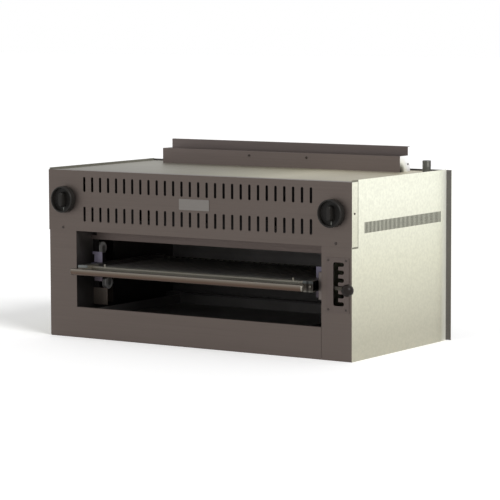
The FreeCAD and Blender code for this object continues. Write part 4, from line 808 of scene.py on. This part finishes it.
def pointer_shell(node):
    """The painted line below the grip, a thin strip with soft corners on the dish's floor."""
    centre, size = middle(node)
    floor_place = centre[1] + size[1] / 2 - DRUM_SHARE * size[1] + DISH_DEPTH
    share = np.array([0.0, 1.0, 1.0, 0.0])
    rise = np.array([-1.0, -1.0, 1.0, 1.0]) * POINTER_HALF_RISE
    points, faces = stacked_rings(share * POINTER_HALF_WIDTH, share * POINTER_HALF_LENGTH, rise, count=24)
    return points + (centre[0], floor_place, centre[2] - POINTER_DROP), faces


for side in ("left", "right"):
    knob = "knob_" + side
    piece("moulded_" + knob, knob_shells(knob), phenolic, side + "_control", (knob,))
    piece("pointer_" + side, [pointer_shell(knob)], pointer_paint, side + "_control")

# %% [markdown]
# The rack is moved by a black ball on the end of the latch lever. A sphere from the lathe has
# its poles on the lever's line, and a small flat where the neck goes in.

# %% The ball on the latch lever
BALL_FLAT = -78

ball_middle, ball_size = middle("ball_knob")
ball_radius = ball_size[2] / 2
pivot, _ = middle("lever_pivot")
outwards = ball_middle - pivot
outwards[2] = 0
outwards /= np.linalg.norm(outwards)
ball_arc = quarter(0.0, 0.0, ball_radius, BALL_FLAT, 90, 29)
ball_profile = np.concatenate([[[0.0, ball_arc[0, 1]]], ball_arc])
ball_profile[-1, 0] = 0.0
piece("turned_ball", [turned(ball_profile, ball_middle, outwards, 56)], ball_phenolic, "latch",
      ("ball_knob",))

# %% [markdown]
# Eight rollers carry the rack: four climb in the upright guides and four roll inside the rack's
# rails. Each is a closed profile turned round its own stud: a rim with broken edges, a recessed
# face like the shield of a ball bearing, and a hub ring round the bore. A Screw modifier could
# turn it too, but a closed loop of rows leaves no seam to merge.

# %% The rollers
BORE = 0.00305
ROLLER_EDGE = 0.0009
RECESS = 0.0008
RECESS_SLOPE = 0.0004
HUB_WIDTH = 0.0022
HUB_DEPTH = 0.0002
TYRE_WIDTH = 0.0032


def roller_profile(radius, width, bore):
    """One closed loop of (radius, distance) for a roller seen in half section."""
    hub = bore + HUB_WIDTH
    rim = radius - TYRE_WIDTH
    near = np.array([[bore, HUB_DEPTH], [hub, HUB_DEPTH], [hub + RECESS_SLOPE, RECESS],
                     [rim - RECESS_SLOPE, RECESS], [rim, 0.0]])
    far = near[::-1] * (1, -1) + (0, width)
    outer = np.concatenate([quarter(radius - ROLLER_EDGE, ROLLER_EDGE, ROLLER_EDGE, -90, 0, 4),
                            quarter(radius - ROLLER_EDGE, width - ROLLER_EDGE, ROLLER_EDGE, 0, 90, 4)])
    return np.concatenate([near, outer, far])


for side in ("left", "right"):
    for kind, places in (("guide", ("upper", "lower")), ("rack", ("front", "rear"))):
        for place in places:
            node = "%s_roller_%s_%s" % (kind, side, place)
            centre, size = middle(node)
            start = centre - (size[0] / 2, 0, 0)
            shell = turned(roller_profile(size[2] / 2, size[0], BORE), start, (1, 0, 0), 56, True)
            body = "%s_%s_%s_roller" % (side, place, kind)
            # The rack's rollers take the darker, shaded copy of the finish.
            finish = roller_steel if kind == "guide" else shaded_roller
            piece("turned_" + node, [shell], finish, body, (node,))

# %% [markdown]
# The handle tube and the grid rods are plain turned shapes. What makes them real is their ends:
# the tube is a wall round a bore, with rounded rims that a Solidify modifier would not give, and
# the model's two plugs close it. Each rod ends in a small round where the bars hold it.

# %% The handle tube and the grid rods
BORE_SHARE = 0.73
ROD_COUNT = 33
ROD_EDGE = 0.0008

tube_middle, tube_size = middle("handle_tube")
tube_radius = tube_size[2] / 2
tube_bore = BORE_SHARE * tube_radius
rim_radius = (tube_radius - tube_bore) / 2
rim_middle = (tube_radius + tube_bore) / 2
end_rim = quarter(rim_middle, tube_size[0] / 2 - rim_radius, rim_radius, 0, 180, 9)
other_rim = end_rim[::-1] * (1, -1)
tube_profile = np.concatenate([end_rim, other_rim])
piece("handle_pipe", [turned(tube_profile, tube_middle, (1, 0, 0), 48, True)], tube_steel, "rack",
      ("handle_tube",))

rods_middle, rods_size = middle("grid_rods")
rod_radius = rods_size[2] / 2
rod_spread = rods_size[0] / 2 - rod_radius
rod = rod_profile(rod_radius, rods_size[1], ROD_EDGE)
rod_front = rods_middle[1] - rods_size[1] / 2
rods = [turned(rod, (x, rod_front, rods_middle[2]), (0, 1, 0), 16)
        for x in np.linspace(-rod_spread, rod_spread, ROD_COUNT)]
piece("round_grid_rods", rods, rod_steel, "rack", ("grid_rods",))

# %% [markdown]
# Two long springs balance the rack's weight. A spring is a helix: it goes round at a steady rate
# while it climbs. Near each end the coil draws in to its own axis, and a straight end runs on
# to the bracket. The upper end stays with the cabinet and the lower end goes with the carriage.
# Here the spring is one mesh that rides on no body. A curve with a round bevel could draw the wire too.

# %% The counterbalance springs
WIRE = 0.0011
COILS = 34
LEAD = 0.01
POINTS_PER_COIL = 20
DRAWN_IN = 0.75


def spring_path(x, y, low, high, radius, turns):
    """A helix that starts and ends on its own axis: z = low + t * (high - low), angle = 2 pi turns t."""
    t = np.linspace(0, 1, turns * POINTS_PER_COIL)
    angle = 2 * np.pi * turns * t
    swell = np.clip(np.minimum(t, 1 - t) * turns / DRAWN_IN, 0, 1)
    return np.stack([x + radius * swell * np.cos(angle), y + radius * swell * np.sin(angle),
                     low + (high - low) * t], axis=1)


for side in ("left", "right"):
    node = "counterbalance_spring_" + side
    centre, size = middle(node)
    low, high = centre[2] - size[2] / 2, centre[2] + size[2] / 2
    coil = spring_path(centre[0], centre[1], low + LEAD, high - LEAD, size[0] / 2 - WIRE, COILS)
    lower_end = [[centre[0], centre[1], low]]
    upper_end = [[centre[0], centre[1], high]]
    path = np.concatenate([lower_end, coil, upper_end])
    spring = piece("coiled_" + node, [swept(path, WIRE, 8)], spring_steel, None, (node,))
    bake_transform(spring)

# %% [markdown]
# Sheet metal is held by small pan-head screws. Each head is a low dome with a recess in its
# middle, turned from one short profile and placed on the face that it clamps. They could be
# instances of one head, but joined into one mesh the dozen of them ride as a single piece.

# %% The screws
HEAD_PROFILE = np.array([[0.0, 0.0], [1.0, 0.0], [1.0, 0.35], [0.93, 0.68], [0.72, 0.93], [0.42, 1.0],
                         [0.34, 1.0], [0.0, 0.3]])
HEAD_RISE = 0.0018
GATE_HEAD = 0.0027
PANEL_HEAD = 0.0034
SIDE_HEAD = 0.0026
GATE_MARGIN_X = (0.0066, 0.0085)
GATE_MARGIN_Z = (0.0072, 0.0068)
PANEL_SCREW_X = 0.413
PANEL_MARGIN = 0.0076
FLUE_SCREW_X = 0.089
FLUE_MARGIN = 0.0117
WRAP_SETBACK = 0.012
WRAP_SCREW_Z = 0.356
END_SETBACK = 0.0115
END_DROP = 0.0217


def screw_head(place, outwards, radius, rise=HEAD_RISE):
    """A pan head on a face: flat rim, domed top, and a cone-shaped recess."""
    return turned(HEAD_PROFILE * (radius, rise), place, outwards, 20)


gate_low, gate_high = box_of("gate_plate")
flue_low, flue_high = box_of("flue_front")
ends_high = box_of("flue_sides")[1]
front = gate_low[1]
screws = []
for x in (gate_low[0] + GATE_MARGIN_X[0], gate_high[0] - GATE_MARGIN_X[1]):
    for z in (gate_low[2] + GATE_MARGIN_Z[0], gate_high[2] - GATE_MARGIN_Z[1]):
        screws.append(screw_head((x, front, z), (0, -1, 0), GATE_HEAD))
for sign in (-1, 1):
    panel_place = (sign * PANEL_SCREW_X, front, panel_low[2] + PANEL_MARGIN)
    flue_place = (sign * FLUE_SCREW_X, flue_low[1], flue_high[2] - FLUE_MARGIN)
    wrap_place = (sign * panel_high[0], front + WRAP_SETBACK, WRAP_SCREW_Z)
    end_place = (sign * ends_high[0], ends_high[1] - END_SETBACK, ends_high[2] - END_DROP)
    screws.append(screw_head(panel_place, (0, -1, 0), PANEL_HEAD))
    screws.append(screw_head(flue_place, (0, -1, 0), PANEL_HEAD))
    screws.append(screw_head(wrap_place, (sign, 0, 0), SIDE_HEAD))
    screws.append(screw_head(end_place, (sign, 0, 0), SIDE_HEAD))
piece("sheet_metal_screws", screws, screw_steel, "cabinet")

# %% [markdown]
# A small plate closes the front end of each of the rack's rails, and a bolt with the same kind
# of head holds it. The plate is a stack of superellipses of a high power, nearly a rectangle,
# because its slightly soft corners catch the light as those of a cut sheet do.

# %% The plates on the rails' ends
END_INNER = 0.3262
END_OUTER = 0.356
END_BOLT = 0.3475
END_BACK = -0.241
END_WALL = 0.0015
END_CORNER = 0.0005
END_POWER = 14.0
BOLT_HEAD = 0.0032
BOLT_RISE = 0.002

rail_low, rail_high = box_of("rack_rail_right")
rail_middle = (rail_low + rail_high) / 2


def end_plate(sign):
    """A sheet with soft corners across the open front end of one rail, from superellipse rings."""
    half_width = (END_OUTER - END_INNER) / 2
    half_height = (rail_high[2] - rail_low[2]) / 2
    inset = np.array([half_width, END_CORNER, 0.0, 0.0, END_CORNER, half_width])
    drop = np.array([half_height, END_CORNER, 0.0, 0.0, END_CORNER, half_height])
    rise = np.array([0.0, 0.0, END_CORNER, END_WALL - END_CORNER, END_WALL, END_WALL])
    points, faces = stacked_rings(half_width - inset, half_height - drop, rise, END_POWER, 72)
    return points + (sign * (END_INNER + END_OUTER) / 2, END_BACK, rail_middle[2]), faces


bolts = [screw_head((sign * END_BOLT, END_BACK - END_WALL, rail_middle[2]), (0, -1, 0), BOLT_HEAD, BOLT_RISE)
         for sign in (-1, 1)]
piece("rail_end_plates", [end_plate(-1), end_plate(1)], end_steel, "rack")
piece("rack_bolts", bolts, bolt_steel, "rack")

# %% [markdown]
# Beside the right end of the rack the photograph shows a narrow upright strip of clean steel. It is
# the front lip of the bracket that holds the latch lever's pivot to the carriage. The bracket is a
# strip of sheet with one rounded bend, so its plan is a line that is carried upwards.

# %% The lever bracket
BRACKET_X = 0.3527
BRACKET_LIP = 0.3625
BRACKET_FRONT = -0.2112
BRACKET_BACK = -0.1815
BRACKET_HALF = 0.0333
BRACKET_WALL = 0.0015
BEND_RADIUS = 0.0018
END_STEP = 0.001


def bent_strip(line, thickness, low, high):
    """A strip from its plan: the line is set off to both sides by half its thickness, then carried up."""
    line = np.asarray(line, float)
    direction = np.gradient(line, axis=0)
    direction /= np.linalg.norm(direction, axis=1)[:, None]
    side = direction[:, ::-1] * (1, -1) * thickness / 2
    outline = np.concatenate([line + side, (line - side)[::-1]])
    middle_line = np.concatenate([line, line[::-1]])
    rings = [np.column_stack([plan, np.full(len(plan), height)]) for plan, height in (
        (middle_line, low), (outline, low), (outline, high), (middle_line, high))]
    return np.concatenate(rings), grid_faces(4, len(outline))


bracket_line = np.concatenate([
    [[BRACKET_X, BRACKET_BACK], [BRACKET_X, BRACKET_BACK - END_STEP]],
    quarter(BRACKET_X + BEND_RADIUS, BRACKET_FRONT + BEND_RADIUS, BEND_RADIUS, 180, 270, 6),
    [[BRACKET_LIP - END_STEP, BRACKET_FRONT], [BRACKET_LIP, BRACKET_FRONT]]])
bracket = bent_strip(bracket_line, BRACKET_WALL, pivot[2] - BRACKET_HALF, pivot[2] + BRACKET_HALF)
piece("lever_bracket", [bracket], bracket_steel, "carriage")

# %% [markdown]
# The gas inlet ends in a pipe thread. A thread is a ridge that climbs as it goes round: the
# radius depends on the height less the turn, so one formula over a grid of turn and height
# makes all of it. The ridge fades out at both ends.

# %% The thread of the gas inlet
INLET_RADIUS = 0.01065
THREAD_LENGTH = 0.016
THREAD_PITCH = 0.00181
THREAD_RIDGE = 0.0005
THREAD_DROP = 0.0006


def thread_shell(centre_x, centre_y, top, rows=80, columns=48):
    """A sleeve whose radius is a triangle wave of (height / pitch - turn / full turn)."""
    height = np.linspace(0, THREAD_LENGTH, rows)[:, None]
    turn = np.linspace(0, 2 * np.pi, columns, endpoint=False)[None, :]
    phase = (height / THREAD_PITCH - turn / (2 * np.pi)) % 1
    ridge = 1 - np.abs(2 * phase - 1)
    fade = np.clip(np.minimum(height, THREAD_LENGTH - height) / THREAD_PITCH, 0, 1)
    radius = INLET_RADIUS + THREAD_RIDGE * ridge * fade
    points = np.stack([centre_x + radius * np.cos(turn), centre_y + radius * np.sin(turn),
                       top - THREAD_LENGTH + height + 0 * turn], axis=-1)
    return points.reshape(-1, 3), grid_faces(rows, columns)


inlet_low, inlet_high = box_of("gas_inlet_pipe")
sleeve_radius = (inlet_high[0] - inlet_low[0]) / 2
thread = thread_shell(inlet_high[0] - sleeve_radius, inlet_high[1] - sleeve_radius,
                      inlet_high[2] - THREAD_DROP)
piece("inlet_thread", [thread], pipe_end, "cabinet", sharp=60)

# %% [markdown]
# The floor is a large pale sheet that only catches the shadow. The room is white to the eye and
# to reflections, and dimmer to matt surfaces, so that the metal shows its own colour while the
# hollow of the grill stays dark, as it does under a hood.

# %% The floor and the room
FLOOR_HALF = 30
FLOOR_GLOW = 0.14
ROOM_LIGHT = 0.6
WHITE = (1, 1, 1, 1)


def seen_directly(holder):
    """One for rays from the camera, and for those that mirrors and clear things send on."""
    path = holder.node_tree.nodes.new("ShaderNodeLightPath")
    seen = path.outputs["Is Camera Ray"]
    for name in ("Is Glossy Ray", "Is Transmission Ray"):
        seen = worked(holder, "MAXIMUM", seen, path.outputs[name])
    return seen


floor_corners = [(x * FLOOR_HALF, y * FLOOR_HALF, 0) for x, y in ((-1, -1), (1, -1), (1, 1), (-1, 1))]
floor_mesh = bpy.data.meshes.new("floor")
floor_mesh.from_pydata(floor_corners, [], [(0, 1, 2, 3)])
floor = bpy.data.objects.new("floor", floor_mesh)
bpy.context.scene.collection.objects.link(floor)
pale_floor = plain("floor", screen(249, 249, 249), 0.0, 0.9)
connect(pale_floor, ranged(pale_floor, seen_directly(pale_floor), 0, 1, 0.0, FLOOR_GLOW), "Emission Strength")
shader_of(pale_floor).inputs["Emission Color"].default_value = WHITE
floor_mesh.materials.append(pale_floor)

room = bpy.data.worlds.new("room")
bpy.context.scene.world = room
room.use_nodes = True
background = room.node_tree.nodes["Background"]
room_light = ranged(room, seen_directly(room), 0, 1, ROOM_LIGHT, 1.0)
room.node_tree.links.new(room_light, background.inputs["Strength"])
background.inputs["Color"].default_value = WHITE
bpy.context.scene.view_settings.view_transform = "Standard"
print("floor and room ready")

# %% [markdown]
# One broad lamp stands high on the right. It puts the brightest light on the side and the top,
# as in the photograph, and leaves the front in its own tone.

# %% The light
LAMP_STRENGTH = 2.0
LAMP_SPREAD = 25
TO_LAMP = (0.756, -0.252, 0.605)

lamp = bpy.data.lights.new("broad_lamp", "SUN")
lamp.energy = LAMP_STRENGTH
lamp.angle = math.radians(LAMP_SPREAD)
lamp_object = bpy.data.objects.new("broad_lamp", lamp)
bpy.context.scene.collection.objects.link(lamp_object)
lamp_object.rotation_euler = Vector(TO_LAMP).to_track_quat("Z", "Y").to_euler()
print("lamp shines from the right, front and above")

# %% [markdown]
# The camera stands far off to the right of the front and a little above, with a long lens, so
# the long edges stay nearly parallel. Its three axes are built from a yaw, a pitch and a roll.

# %% The camera
YAW = -0.589973
PITCH = 0.100449
ROLL = -0.003298
LENS = 172.953
SENSOR = 36
CAMERA_PLACE = (3.41845, -5.08713, 0.84418)

forward = Vector((math.sin(YAW) * math.cos(PITCH), math.cos(YAW) * math.cos(PITCH), -math.sin(PITCH)))
level_right = Vector((math.cos(YAW), -math.sin(YAW), 0))
level_up = level_right.cross(forward)
right = math.cos(ROLL) * level_right + math.sin(ROLL) * level_up
up = math.cos(ROLL) * level_up - math.sin(ROLL) * level_right
camera_data = bpy.data.cameras.new("camera")
camera_data.lens = LENS
camera_data.sensor_width = SENSOR
camera = bpy.data.objects.new("camera", camera_data)
bpy.context.scene.collection.objects.link(camera)
axes = Matrix((right, up, -forward)).transposed().to_4x4()
camera.matrix_world = Matrix.Translation(CAMERA_PLACE) @ axes
bpy.context.scene.camera = camera
print("camera at", [round(v, 3) for v in camera.location])

# %% [markdown]
# The box of the engineering model, taken when it was loaded, is printed again.

# %% The size of the engineering model
print("engineering", [[round(v, 4) for v in corner] for corner in cad_box])
